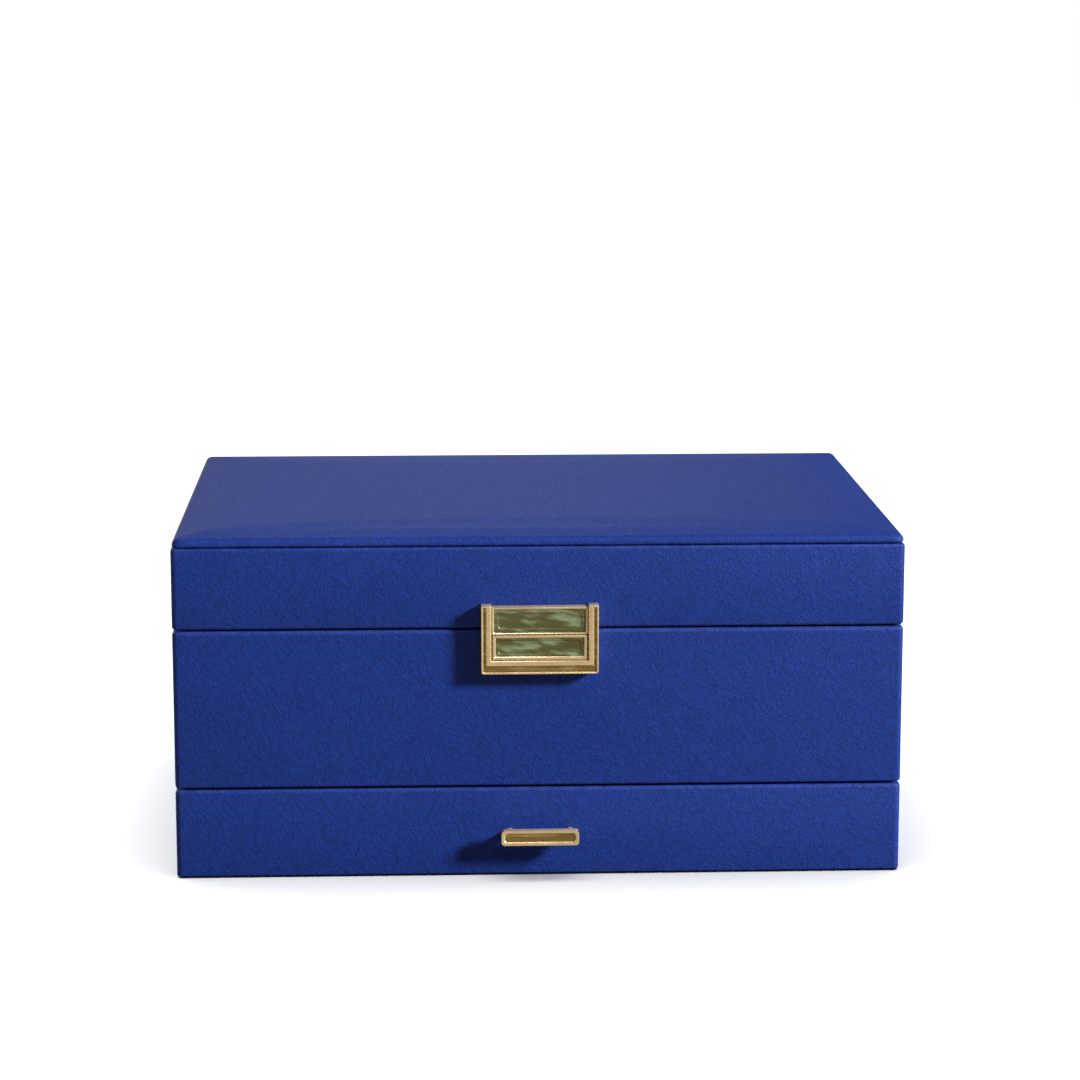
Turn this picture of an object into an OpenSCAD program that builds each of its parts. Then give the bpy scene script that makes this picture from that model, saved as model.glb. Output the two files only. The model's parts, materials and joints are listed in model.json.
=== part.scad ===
// Leather jewellery case.
// A board box covered in leather: a hinged lid with a padded top panel and a mirror
// inside, a velvet-lined compartment with ring rolls and dividers, a full-width drawer
// below, a push-button latch at the front and two butt hinges at the back.
// Millimetres. X points right, Y points to the back, Z points up.
// The origin is the centre of the base pad's underside.

/* [Case] */
// Outside width, over the leather
case_w = 260; // [250:5:300]
// Outside depth, over the leather
case_d = 190; // [185:5:220]
// Height of the seam between the drawer front and the case
drawer_seam = 32.8; // [32:0.2:38]
// Height of the seam between the case and the lid
lid_seam = 90.5; // [89:0.5:100]
// Height of the lid's walls, from the seam to the groove under the top panel
lid_wall_h = 29.5; // [28:0.5:36]
// Height of the padded top panel above the groove, at its crown
panel_h = 4.8; // [4.6:0.2:7]

/* [Shell] */
// Thickness of the wall boards
board_t = 5; // [4.5:0.5:6]
// Thickness of the leather
leather_t = 0.8; // [0.6:0.1:1]
// Thickness of the velvet lining
lining_t = 0.7; // [0.5:0.1:0.9]
// Radius of the leather's upright corners
corner_r = 2; // [1.5:0.1:2]
// Thickness of the felt pad under the base
pad_t = 1; // [0.8:0.1:1]
// Room between the table and the drawer's front
front_clear = 0.5; // [0.4:0.1:1.2]
// Gap at the seams between the parts that open
seam_gap = 0.6; // [0.5:0.1:0.8]

/* [Compartment] */
// Thickness of the dividers
divider_t = 4; // [3:0.5:5]
// Depth of the rim above the dividers
divider_drop = 10.5; // [8:0.5:14]
// Distance between the six ring rolls
roll_pitch = 22; // [20:0.5:22]

/* [Drawer] */
// Travel of the drawer to its stop
drawer_travel = 140; // [100:5:145]
// Thickness of the drawer's sides
drawer_side_t = 4; // [3:0.5:5]
// Width of the drawer pull
pull_w = 27.6; // [24:0.2:34]
// Height of the drawer pull's bar
pull_h = 5.4; // [5:0.2:8]
// Distance from the drawer's leather to the front of the pull
pull_reach = 9; // [8.5:0.5:12]

/* [Latch] */
// Width of the latch frame
latch_w = 41.5; // [40:0.5:44]
// Distance from the frame's foot to the seam
latch_below = 15.3; // [15.2:0.1:15.6]
// Distance from the seam to the top of the frame's arms
latch_above = 9.3; // [8:0.1:11]
// Distance that the frame stands out from the leather
latch_proud = 5.5; // [5.4:0.1:6]
// Width of the frame's arms
latch_arm = 3.55; // [3.4:0.05:3.8]
// Travel of the push button
button_travel = 1.2; // [0.8:0.1:1.2]

/* [Hinges] */
// Width of each hinge
hinge_w = 30; // [24:1:36]
// Distance from the middle of the case to each hinge
hinge_x = 75; // [60:5:85]
// Radius of the hinge knuckles
knuckle_r = 1.7; // [1.6:0.05:1.7]
// Radius of the hinge pins
pin_r = 0.8; // [0.7:0.05:0.9]

/* [Hidden] */
$fn = 48;
hair = 0.3;                                  // clearance between parts that move
over = 1;                                    // overlap of a cutting tool

// Half sizes of the nested shells, from the leather inwards
out_x = case_w / 2;
out_y = case_d / 2;
brd_x = out_x - leather_t;
brd_y = out_y - leather_t;
in_x = brd_x - board_t;
in_y = brd_y - board_t;
lin_x = in_x - lining_t;
lin_y = in_y - lining_t;

// Heights of the case
base_top = pad_t + 4;
fascia_z = drawer_seam + 0.4;                // underside of the leather below the fascia
floor_z = fascia_z + 0.4;                    // underside of the compartment's floor
floor_top = floor_z + 4;
tray_z = floor_top + lining_t;               // top of the compartment's lining
rim_z = lid_seam - seam_gap / 2;
case_board_top = rim_z - leather_t;
divider_top = rim_z - divider_drop;
wall_front_y = -brd_y + 6.1;                 // front edge of the walls beside the drawer

// Heights of the lid
lid_z = lid_seam + seam_gap / 2;
lid_top = lid_seam + lid_wall_h;
ceil_t = 3.2;                                // thickness of the lid's ceiling board
ceil_z = lid_top - leather_t - ceil_t;
lid_lin_z = ceil_z - lining_t;               // underside of the lid lining's ceiling
panel_top = lid_top + panel_h;
panel_inset = 0.4;                           // the top panel sits this far inside the lid
panel_board_t = 2;
turn_in = 12;                                // width of the leather's turned-in edges

// Mirror
mirror_t = 1.7;
mirror_half = [0.385 * case_w, 0.342 * case_d];
surround_t = 3.7;
surround_lap = 4;                            // the surround covers the mirror's edge by this

// Compartment layout: X of the dividers' left faces, Y of their front faces
main_x = -0.17 * case_w + 0.2;
cross_y = -0.063 * case_d;
rear_x = main_x + 84;
front_x = [main_x + 68, main_x + 118];
ring_rolls = 6;
ring_end_y = -lin_y + ring_rolls * roll_pitch + 1.5;

// Drawer
dr_x = in_x - 1.5;                           // half width of the drawer box
dr_z = base_top + hair;
dr_top = floor_z - 3.1;
dr_back = out_y - 13;
dr_front_z = front_clear;
dr_front_top = drawer_seam - 0.4;
dr_front_back = -brd_y + 4.4;                // back face of the drawer front's board
dr_floor_t = 3;
dr_in_x = dr_x - drawer_side_t;
dr_in_back = dr_back - drawer_side_t;
dr_tray_z = dr_z + dr_floor_t + lining_t;
dr_div_top = dr_top - 3;
dr_long_y = -6;                              // front face of the drawer's long divider
dr_cross_x = 38;                             // inner faces of the rear cross dividers
dr_div_t = 3;
stop_half = 25;
stop_depth = 6;
stop_z = dr_top + 0.7;                       // underside of the drawer's stop
tail_top = floor_z - 0.6;                    // top of the tab that meets the stop

// Drawer pull
pull_z = (dr_front_z + dr_front_top) / 2 - 0.35;
pull_bar_t = 3;
pull_post_r = 1.5;
pull_post_x = pull_w / 2 - 3;
pull_screw_r = 0.9;

// Latch
latch_z0 = lid_seam - latch_below;
latch_z1 = lid_seam + latch_above;
latch_rail_h = 4.8;
latch_y = -out_y - latch_proud;              // front of the latch frame
mouth_half = latch_w / 2 - latch_arm;        // half width between the frame's arms
plate_half = mouth_half - 0.2;
plate_z0 = lid_seam - 1;
plate_z1 = latch_z1 - 0.6;
button_half = mouth_half - 0.45;
button_z0 = latch_z0 + latch_rail_h + hair;
button_z1 = plate_z0 - hair;
button_y = latch_y + 0.6;
button_t = 1.4;
tongue_half = 6;
tongue_front = button_y + button_t + button_travel + 0.4;
tongue_y = [tongue_front, tongue_front + 1];
tongue_z0 = lid_seam - 7.5;
catch_y = [tongue_y[1] + 0.2, tongue_y[1] + 1];  // catch plate, just behind the tongue
catch_half = 11.6;
catch_z = [lid_seam - 9.5, lid_seam - 2.5];
yoke_arm_t = 1.8;
cutout_half = 12;
cutout_z = [lid_seam - 10.9, lid_seam - 2.1];
spring_x = 8;
spring_z = (catch_z[0] + catch_z[1]) / 2;
spring_r = 1.4;
spring_wire_r = 0.25;
spring_turns = 5;
backplate_t = 0.8;
latch_screw_x = latch_w / 2 - latch_arm / 2;
latch_screw_z = [latch_z0 + 2.6, lid_seam - 3.6];
plate_screw_x = 9;
plate_screw_z = lid_seam + 5.5;
screw_r = 0.9;
screw_head_r = 1.6;
screw_head_t = 0.8;

// Hinges: the pin's axis lies behind the back leather, level with the lid's seam
axis_y = out_y + 2;
leaf_t = 1.3;
leaf_y = out_y - 4.6;                        // front edge of the leaves
leaf_gap = seam_gap / 2;                     // from the axis' height to a leaf's face
swing_r = knuckle_r + 0.2;                   // room around a knuckle of the other leaf
knuckle_gap = 0.2;
knuckle_in = hinge_w / 6;                    // half length of the middle knuckle
lug_y = 3.2;                                 // reach of a stop lug behind the axis
lug_z = 4.6;                                 // height of a stop lug above the axis
stop_angle = 51;                             // a stop lug's face, half of the full swing
leaf_screw_y = out_y - 3;
leaf_screw_x = 0.33 * hinge_w;
leaf_screw_r = 0.8;
leaf_screw_head_r = 1.5;
leaf_screw_l = 10;

leather = [0.13, 0.2, 0.47];
velvet = [0.58, 0.56, 0.54];
board = [0.62, 0.5, 0.36];
gold = [0.82, 0.7, 0.42];
steel = [0.7, 0.7, 0.72];
felt = [0.12, 0.17, 0.4];

// ---- Shared shapes ----

// Range from -h to h
function both(h) = [-h, h];

// Block over a range of X, Y and Z
module box(x, y, z) {
    translate([x[0], y[0], z[0]]) cube([x[1] - x[0], y[1] - y[0], z[1] - z[0]]);
}

// Rods along each axis, over a range of that axis
module rod_x(r, x, y, z) { translate([x[0], y, z]) rotate([0, 90, 0]) cylinder(r = r, h = x[1] - x[0]); }
module rod_y(r, x, y, z) { translate([x, y[1], z]) rotate([90, 0, 0]) cylinder(r = r, h = y[1] - y[0]); }
module rod_z(r, x, y, z) { translate([x, y, z[0]]) cylinder(r = r, h = z[1] - z[0]); }

// Rectangle with round corners, centred on the origin
module round_rect(hx, hy, r) {
    square([2 * (hx - r), 2 * hy], center = true);
    square([2 * hx, 2 * (hy - r)], center = true);
    for (x = [-1, 1], y = [-1, 1]) translate([x * (hx - r), y * (hy - r)]) circle(r = r);
}

// Open ring of leather around the boards, over a range of Z
module leather_ring(z) {
    translate([0, 0, z[0]]) linear_extrude(z[1] - z[0]) difference() {
        round_rect(out_x, out_y, corner_r);
        square([2 * brd_x, 2 * brd_y], center = true);
    }
}

// Flat frame of leather turned in over the boards' edges
module leather_turn_in(z, width) {
    translate([0, 0, z[0]]) linear_extrude(z[1] - z[0]) difference() {
        round_rect(out_x, out_y, corner_r);
        square([2 * (out_x - width), 2 * (out_y - width)], center = true);
    }
}

// Panel of the XY plane turned to stand on its edge: local X stays X, local Y becomes Z,
// and it is extruded over a range of Y
module upright(y) { translate([0, y[1], 0]) rotate([90, 0, 0]) linear_extrude(y[1] - y[0]) children(); }

// Section of the YZ plane extruded over a range of X
module along_x(x) {
    translate([x[0], 0, 0]) rotate([90, 0, 90]) linear_extrude(x[1] - x[0]) children();
}

// Flat-headed screw along Y: the head's underside is at y_head, the tip points to -Y
module screw_to_front(x, y_tip, y_head, z, r, head_r, head_t) {
    rod_y(r, x, [y_tip, y_head], z);
    rod_y(head_r, x, [y_head, y_head + head_t], z);
}

// Children as they are, or reflected to the other side of X = 0 when s is negative
module on_side(s) { mirror([s < 0 ? 1 : 0, 0, 0]) children(); }

// The places of the latch frame's screws
module at_latch_screws() {
    for (s = [-1, 1], z = latch_screw_z) translate([s * latch_screw_x, 0, z]) children();
}

// The holes that the latch needs through the fascia, the leather and the lining
module latch_holes() {
    box(both(cutout_half), [-out_y - over, -lin_y + over], cutout_z);
    at_latch_screws() rod_y(screw_r, 0, [-out_y - over, -lin_y + over], 0);
}

// The holes that the lid plate's screws need through the rail, the leather and the lining
module plate_screw_holes() {
    for (s = [-1, 1]) rod_y(screw_r, s * plate_screw_x, [-out_y - over, -lin_y + over], plate_screw_z);
}

// ---- Case ----

module side_wall(s) {
    x = s > 0 ? [in_x, brd_x] : [-brd_x, -in_x];
    box(x, [wall_front_y, brd_y], [pad_t, case_board_top]);
    box(x, [-in_y, wall_front_y], [fascia_z + leather_t, case_board_top]);
}
module left_wall() { color(board) side_wall(-1); }
module right_wall() { color(board) side_wall(1); }

module back_wall() {
    color(board) difference() {
        box(both(in_x), [in_y, brd_y], [pad_t, case_board_top]);
        case_leaf_mortises();
    }
}

module front_fascia() {
    color(board) difference() {
        box(both(brd_x), [-brd_y, -in_y], [fascia_z + leather_t, case_board_top]);
        latch_holes();
    }
}

module compartment_floor() { color(board) box(both(in_x), both(in_y), [floor_z, floor_top]); }

module base_board() { color(board) box(both(in_x), [wall_front_y, in_y], [pad_t, base_top]); }

module base_pad() { color(felt) box(both(out_x - 1), [wall_front_y + 0.2, out_y - 1], [0, pad_t]); }

// Leather skin of the case, turned in over the rim, under the fascia and over the walls'
// front edges beside the drawer
module case_cover() {
    edge_y = wall_front_y - leather_t;
    color(leather) difference() {
        union() {
            difference() {
                leather_ring([pad_t, rim_z]);
                box(both(out_x + over), [-out_y - over, edge_y], [0, fascia_z]);
            }
            leather_turn_in([case_board_top, rim_z], leather_t + board_t);
            box(both(brd_x), [-brd_y, -in_y], [fascia_z, fascia_z + leather_t]);
            for (s = [-1, 1]) on_side(s)
                box([in_x, brd_x], [edge_y, wall_front_y], [pad_t, fascia_z]);
        }
        latch_holes();
        case_leaf_mortises();
    }
}

module compartment_lining() {
    color(velvet) difference() {
        box(both(in_x), both(in_y), [floor_top, rim_z]);
        box(both(lin_x), both(lin_y), [tray_z, rim_z + over]);
        latch_holes();
    }
}

// Upright divider, over a range of X and Y
module divider(x, y) { color(velvet) box(x, y, [tray_z, divider_top]); }

module divider_main() { divider([main_x, main_x + divider_t], both(lin_y)); }
module divider_cross() { divider([main_x + divider_t, lin_x], [cross_y, cross_y + divider_t]); }
module divider_ring_end() { divider([-lin_x, main_x], [ring_end_y, ring_end_y + divider_t]); }
module divider_rear() { divider([rear_x, rear_x + divider_t], [cross_y + divider_t, lin_y]); }
module front_dividers() { for (x = front_x) divider([x, x + divider_t], [-lin_y, cross_y]); }

// Padded roll with a round top; rings stand in the slots between the rolls
module ring_roll(i) {
    r = roll_pitch / 2 - 0.2;
    y = -lin_y + (i - 0.5) * roll_pitch + 0.4;
    top = divider_top - 2;
    color(velvet) along_x([-lin_x + hair, main_x - hair]) {
        translate([y - r, tray_z]) square([2 * r, top - r - tray_z]);
        intersection() {
            translate([y, top - r]) circle(r = r);
            translate([y - r, top - r]) square([2 * r, r]);
        }
    }
}

// Flat pillow with round long edges, lying in the rear right compartment
module bracelet_pillow() {
    r = 12;
    y = [cross_y + divider_t + 15, lin_y - 15];
    z = tray_z + r;
    color(velvet) along_x([rear_x + divider_t + 10, lin_x - 8]) {
        translate([y[0] + r, z - r]) square([y[1] - y[0] - 2 * r, 2 * r]);
        for (c = [y[0] + r, y[1] - r]) translate([c, z]) circle(r = r);
    }
}

module drawer_stop() {
    y = dr_in_back - drawer_travel - 0.2;
    color(board) box(both(stop_half), [y - stop_depth, y], [stop_z, floor_z]);
}

// ---- Hinges ----

// Room for the two leaves in the case's rim
module case_leaf_mortises() {
    for (s = [-1, 1]) translate([s * hinge_x, 0, 0]) {
        box(both(hinge_w / 2), [leaf_y, out_y + over], [rim_z - leaf_t, rim_z + over]);
        for (t = [-1, 1])
            rod_z(leaf_screw_r, t * leaf_screw_x, leaf_screw_y, [rim_z - leaf_screw_l, rim_z]);
    }
}

// Room for the two leaves in the lid's rim
module lid_leaf_mortises() {
    translate([0, 0, 2 * lid_seam]) mirror([0, 0, 1]) case_leaf_mortises();
}

// Profile of a stop lug above the axis, its sloping face in line with the axis
module lug_profile() {
    polygon([
        [-knuckle_r, swing_r], [swing_r / tan(stop_angle), swing_r],
        [lug_y, lug_y * tan(stop_angle)], [lug_y, lug_z], [-knuckle_r, lug_z]
    ]);
}

// One leaf of a hinge, for the upper side of the axis. Its knuckles fill the ranges of X in
// own; the other leaf's knuckles fill those in others.
module leaf(own, others, bore_r) {
    translate([0, axis_y, lid_seam]) difference() {
        union() {
            difference() {
                box(both(hinge_w / 2), [leaf_y - axis_y, 0], [leaf_gap, leaf_gap + leaf_t]);
                for (x = others) rod_x(swing_r, [x[0] - knuckle_gap, x[1] + knuckle_gap], 0, 0);
            }
            for (x = own) {
                rod_x(knuckle_r, x, 0, 0);
                box(x, [-knuckle_r, 0], [leaf_gap, lug_z - over]);
            }
            along_x(both(hinge_w / 2)) lug_profile();
        }
        rod_x(bore_r, both(hinge_w), 0, 0);
        for (t = [-1, 1]) translate([t * leaf_screw_x, leaf_screw_y - axis_y, leaf_gap]) {
            cylinder(r = leaf_screw_r, h = leaf_t + over);
            translate([0, 0, -over]) cylinder(r = leaf_screw_head_r, h = over + screw_head_t);
        }
    }
}

mid_knuckle = [both(knuckle_in)];
outer_knuckles = [
    [-hinge_w / 2, -knuckle_in - knuckle_gap], [knuckle_in + knuckle_gap, hinge_w / 2]
];

module lid_leaf(s) {
    color(gold) translate([s * hinge_x, 0, 0]) leaf(mid_knuckle, outer_knuckles, pin_r + 0.05);
}
module case_leaf(s) {
    color(gold) translate([s * hinge_x, 0, 2 * lid_seam]) mirror([0, 0, 1])
        leaf(outer_knuckles, mid_knuckle, pin_r + 0.02);
}
module left_hinge_case_leaf() { case_leaf(-1); }
module right_hinge_case_leaf() { case_leaf(1); }
module left_hinge_lid_leaf() { lid_leaf(-1); }
module right_hinge_lid_leaf() { lid_leaf(1); }

module hinge_pins() {
    color(gold) for (s = [-1, 1]) translate([s * hinge_x, 0, 0])
        rod_x(pin_r, both(hinge_w / 2), axis_y, lid_seam);
}

module case_hinge_screws() {
    color(gold) for (s = [-1, 1], t = [-1, 1])
        translate([s * hinge_x + t * leaf_screw_x, leaf_screw_y, 0]) {
            rod_z(leaf_screw_r, 0, 0, [rim_z - leaf_screw_l, rim_z - screw_head_t]);
            rod_z(leaf_screw_head_r, 0, 0, [rim_z - screw_head_t, rim_z]);
        }
}
module lid_hinge_screws() {
    translate([0, 0, 2 * lid_seam]) mirror([0, 0, 1]) case_hinge_screws();
}

// ---- Latch on the case ----

// U-shaped frame: two arms and a foot rail, with a groove along each front face
module latch_housing() {
    groove = 0.5;
    inner = mouth_half;
    half = latch_w / 2;
    clear_y = -out_y - hair;                 // the arms stand clear of the lid's leather
    color(gold) difference() {
        union() {
            for (s = [-1, 1]) on_side(s) {
                box([inner, half], [latch_y, -out_y], [latch_z0, rim_z]);
                box([inner, half], [latch_y, clear_y], [rim_z, latch_z1]);
            }
            box(both(inner), [latch_y, -out_y], [latch_z0, latch_z0 + latch_rail_h]);
        }
        for (s = [-1, 1])
            box([s * latch_screw_x - groove / 2, s * latch_screw_x + groove / 2],
                [latch_y - over, latch_y + groove], [latch_z0 + latch_rail_h, latch_z1 + over]);
        at_latch_screws() rod_y(screw_r, 0, [latch_y + 2, 0], 0);
    }
}

module latch_backplate() {
    color(gold) difference() {
        box(both(latch_w / 2 + 0.5), [-lin_y, -lin_y + backplate_t],
            [latch_z0 - 0.5, rim_z - leather_t]);
        at_latch_screws() rod_y(screw_r, 0, [-lin_y - over, -lin_y + over], 0);
    }
}

module latch_screws() {
    back = -lin_y + backplate_t;
    color(steel) at_latch_screws()
        screw_to_front(0, latch_y + 2, back, 0, screw_r, screw_head_r, screw_head_t);
}

// Coil spring along Y: rings of the wire's section, set along a helix
function coil_points(length, steps, sides) = [
    for (i = [0:steps], k = [0:sides - 1])
        let (a = 360 * spring_turns * i / steps, b = 360 * k / sides)
        let (r = spring_r + spring_wire_r * cos(b))
        [r * cos(a), length * i / steps + spring_wire_r * sin(b), r * sin(a)]
];
module coil(length, steps, sides) {
    last = steps * sides;
    walls = [
        for (i = [0:steps - 1], k = [0:sides - 1])
            let (a = i * sides + k, b = i * sides + (k + 1) % sides)
            [a, b, b + sides, a + sides]
    ];
    near_end = [[for (k = [sides - 1:-1:0]) k]];
    far_end = [[for (k = [0:sides - 1]) last + k]];
    polyhedron(coil_points(length, steps, sides), concat(walls, near_end, far_end));
}
module latch_springs() {
    wire = spring_wire_r + 0.02;
    color(steel) for (s = [-1, 1]) translate([s * spring_x, catch_y[1] + wire, spring_z])
        coil(-lin_y - catch_y[1] - 2 * wire, 70, 6);
}

// ---- Push button ----

// Button face with a raised rim around a recessed panel
module latch_button() {
    rim = 1.1;
    color(gold) difference() {
        box(both(button_half), [button_y, button_y + button_t], [button_z0, button_z1]);
        box(both(button_half - rim), [button_y - over, button_y + 0.35],
            [button_z0 + rim, button_z1 - rim]);
    }
}

// Two arms and a catch plate that hook the lid's tongue from behind
module latch_yoke() {
    color(steel) {
        box(both(catch_half), catch_y, catch_z);
        for (s = [-1, 1]) on_side(s)
            box([catch_half - yoke_arm_t, catch_half], [button_y + button_t, catch_y[0]], catch_z);
    }
}

// ---- Lid ----

module lid_front_rail() {
    color(board) difference() {
        box(both(brd_x), [-brd_y, -in_y], [lid_z + leather_t, ceil_z]);
        plate_screw_holes();
    }
}
module lid_back_rail() {
    color(board) difference() {
        box(both(brd_x), [in_y, brd_y], [lid_z + leather_t, ceil_z]);
        lid_leaf_mortises();
    }
}
module lid_left_rail() { color(board) box([-brd_x, -in_x], both(in_y), [lid_z + leather_t, ceil_z]); }
module lid_right_rail() { color(board) box([in_x, brd_x], both(in_y), [lid_z + leather_t, ceil_z]); }
module lid_ceiling_board() {
    color(board) box(both(brd_x), both(brd_y), [ceil_z, lid_top - leather_t]);
}

// Leather skin of the lid's walls, turned in over the rim and over the ceiling board
module lid_frame_cover() {
    color(leather) difference() {
        union() {
            leather_ring([lid_z, lid_top]);
            leather_turn_in([lid_z, lid_z + leather_t], leather_t + board_t);
            leather_turn_in([lid_top - leather_t, lid_top], turn_in);
        }
        plate_screw_holes();
        lid_leaf_mortises();
    }
}

// Padded panel, drawn in by a skin's thickness: upright edges that round over into a
// shallow crown
module cushion(skin) {
    steps = [[0, 0], [0, 0.5], [0.8, 0.72], [5, 0.88], [18, 1]];
    hull() for (s = steps) translate([0, 0, lid_top + skin + s[1] * (panel_h - 2 * skin)]) {
        inset = panel_inset + skin + s[0];
        linear_extrude(0.01) hull() for (x = [-1, 1], y = [-1, 1])
            translate([x * (out_x - inset - 3), y * (out_y - inset - 3)]) circle(r = 3, $fn = 32);
    }
}

module top_panel_cover() {
    color(leather) difference() {
        cushion(0);
        cushion(leather_t);
        box(both(out_x - turn_in - 4), both(out_y - turn_in - 4), [lid_top - over, lid_top + over]);
    }
}
module top_panel_board() {
    color(board) intersection() {
        cushion(leather_t);
        box(both(out_x), both(out_y), [lid_top, lid_top + leather_t + panel_board_t]);
    }
}
module top_panel_foam() {
    color([0.85, 0.8, 0.6]) intersection() {
        cushion(leather_t);
        box(both(out_x), both(out_y), [lid_top + leather_t + panel_board_t, panel_top]);
    }
}

module lid_lining() {
    color(velvet) difference() {
        box(both(in_x), both(in_y), [lid_z, ceil_z]);
        box(both(lin_x), both(lin_y), [lid_z - over, lid_lin_z]);
        plate_screw_holes();
    }
}

module mirror_glass() {
    box(both(mirror_half[0]), both(mirror_half[1]), [lid_lin_z - mirror_t, lid_lin_z]);
}
module mirror_pane() { color([0.8, 0.85, 0.9]) mirror_glass(); }

// Velvet-covered frame with a rebate that holds the mirror's edge
module mirror_surround() {
    color(velvet) difference() {
        box(both(lin_x - hair), both(lin_y - hair), [lid_lin_z - surround_t, lid_lin_z]);
        box(both(mirror_half[0] - surround_lap), both(mirror_half[1] - surround_lap),
            [lid_lin_z - surround_t - over, lid_lin_z]);
        mirror_glass();
    }
}

// Plate on the lid between the frame's arms, with the tongue that the yoke catches
module latch_plate() {
    rim = 1.1;
    front = latch_y + 0.7;
    color(gold) difference() {
        union() {
            box(both(plate_half), [front, -out_y], [lid_z, plate_z1]);
            box(both(plate_half), [front, -out_y - 0.4], [plate_z0, lid_z]);
            box(both(tongue_half), tongue_y, [tongue_z0, plate_z0]);
        }
        box(both(plate_half - rim), [front - over, front + 0.35], [plate_z0 + rim, plate_z1 - rim]);
        for (s = [-1, 1]) rod_y(screw_r, s * plate_screw_x, [front + 1.5, 0], plate_screw_z);
    }
}
module latch_plate_screws() {
    color(gold) for (s = [-1, 1])
        screw_to_front(s * plate_screw_x, latch_y + 2.2, -lin_y, plate_screw_z, screw_r,
            screw_head_r, screw_head_t);
}

// ---- Drawer ----

module pull_screw_holes() {
    for (s = [-1, 1]) translate([s * pull_post_x, 0, pull_z]) {
        rod_y(pull_screw_r, 0, [-out_y - over, dr_front_back + over], 0);
        rod_y(2 * pull_screw_r, 0, [dr_front_back - over, dr_front_back + over], 0);
    }
}

module drawer_front_block(margin, y) {
    box(both(out_x - margin), y, [dr_front_z + margin, dr_front_top - margin]);
}
module drawer_front_board() {
    color(board) difference() {
        drawer_front_block(leather_t, [-brd_y, dr_front_back]);
        pull_screw_holes();
    }
}

// Leather around the drawer front, turned in behind it around the drawer box
module drawer_front_cover() {
    back = dr_front_back + 0.5;
    color(leather) difference() {
        translate([0, 0, dr_front_z]) linear_extrude(dr_front_top - dr_front_z) intersection() {
            round_rect(out_x, out_y, corner_r);
            translate([-out_x, -out_y]) square([case_w, out_y + back]);
        }
        drawer_front_block(leather_t, [-brd_y, dr_front_back]);
        box(both(dr_x + 0.5), [dr_front_back - over, back + over], [dr_z - hair, dr_top + hair]);
        for (s = [-1, 1])
            rod_y(pull_screw_r, s * pull_post_x, [-out_y - over, -brd_y + over], pull_z);
    }
}

module drawer_side(s) {
    x = s > 0 ? [dr_in_x, dr_x] : [-dr_x, -dr_in_x];
    color(board) box(x, [dr_front_back, dr_back], [dr_z, dr_top]);
}
module drawer_left_side() { drawer_side(-1); }
module drawer_right_side() { drawer_side(1); }

// Back panel with a raised tab that meets the stop
module drawer_back_panel() {
    color(board) {
        box(both(dr_in_x), [dr_in_back, dr_back], [dr_z, dr_top]);
        box(both(stop_half + 5), [dr_in_back, dr_back], [dr_top, tail_top]);
    }
}
module drawer_floor() {
    color(board) box(both(dr_in_x), [dr_front_back, dr_in_back], [dr_z, dr_z + dr_floor_t]);
}
module drawer_lining() {
    color(velvet) difference() {
        box(both(dr_in_x), [dr_front_back, dr_in_back], [dr_z + dr_floor_t, dr_top]);
        box(both(dr_in_x - lining_t), [dr_front_back + lining_t, dr_in_back - lining_t],
            [dr_tray_z, dr_top + over]);
    }
}
module drawer_divider_long() {
    color(velvet) box(both(dr_in_x - lining_t), [dr_long_y, dr_long_y + dr_div_t],
        [dr_tray_z, dr_div_top]);
}
module drawer_cross_dividers() {
    rear = [dr_long_y + dr_div_t, dr_in_back - lining_t];
    front = [dr_front_back + lining_t, dr_long_y];
    color(velvet) {
        for (x = [-dr_cross_x - dr_div_t, dr_cross_x])
            box([x, x + dr_div_t], rear, [dr_tray_z, dr_div_top]);
        box(both(dr_div_t / 2), front, [dr_tray_z, dr_div_top]);
    }
}

// Bar pull on two posts, with a raised rim around its face
module drawer_handle() {
    rim = 1.6;
    front = -out_y - pull_reach;
    face_x = pull_w / 2 - rim;
    face_z = pull_h / 2 - rim;
    color(gold) difference() {
        union() {
            translate([0, 0, pull_z]) upright([front, front + pull_bar_t])
                round_rect(pull_w / 2, pull_h / 2, 1.2);
            for (s = [-1, 1])
                rod_y(pull_post_r, s * pull_post_x, [front + pull_bar_t, -out_y], pull_z);
        }
        box(both(face_x), [front - over, front + 0.4], [pull_z - face_z, pull_z + face_z]);
        for (s = [-1, 1]) rod_y(pull_screw_r, s * pull_post_x, [-out_y - 5, -out_y + over], pull_z);
    }
}
module handle_screws() {
    color(steel) for (s = [-1, 1])
        screw_to_front(s * pull_post_x, -out_y - 5, dr_front_back - over, pull_z,
            pull_screw_r, 2 * pull_screw_r, over);
}

left_wall();
right_wall();
back_wall();
front_fascia();
compartment_floor();
base_board();
base_pad();
case_cover();
compartment_lining();
divider_main();
divider_cross();
divider_ring_end();
divider_rear();
front_dividers();
ring_roll(1);  // ring_roll_1
ring_roll(2);  // ring_roll_2
ring_roll(3);  // ring_roll_3
ring_roll(4);  // ring_roll_4
ring_roll(5);  // ring_roll_5
ring_roll(6);  // ring_roll_6
bracelet_pillow();
left_hinge_case_leaf();
right_hinge_case_leaf();
hinge_pins();
case_hinge_screws();
latch_housing();
latch_backplate();
latch_screws();
latch_springs();
drawer_stop();
lid_front_rail();
lid_back_rail();
lid_left_rail();
lid_right_rail();
lid_ceiling_board();
lid_frame_cover();
top_panel_board();
top_panel_foam();
top_panel_cover();
lid_lining();
mirror_pane();
mirror_surround();
latch_plate();
latch_plate_screws();
left_hinge_lid_leaf();
right_hinge_lid_leaf();
lid_hinge_screws();
drawer_front_board();
drawer_front_cover();
drawer_left_side();
drawer_right_side();
drawer_back_panel();
drawer_floor();
drawer_lining();
drawer_divider_long();
drawer_cross_dividers();
drawer_handle();
handle_screws();
latch_button();
latch_yoke();
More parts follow.
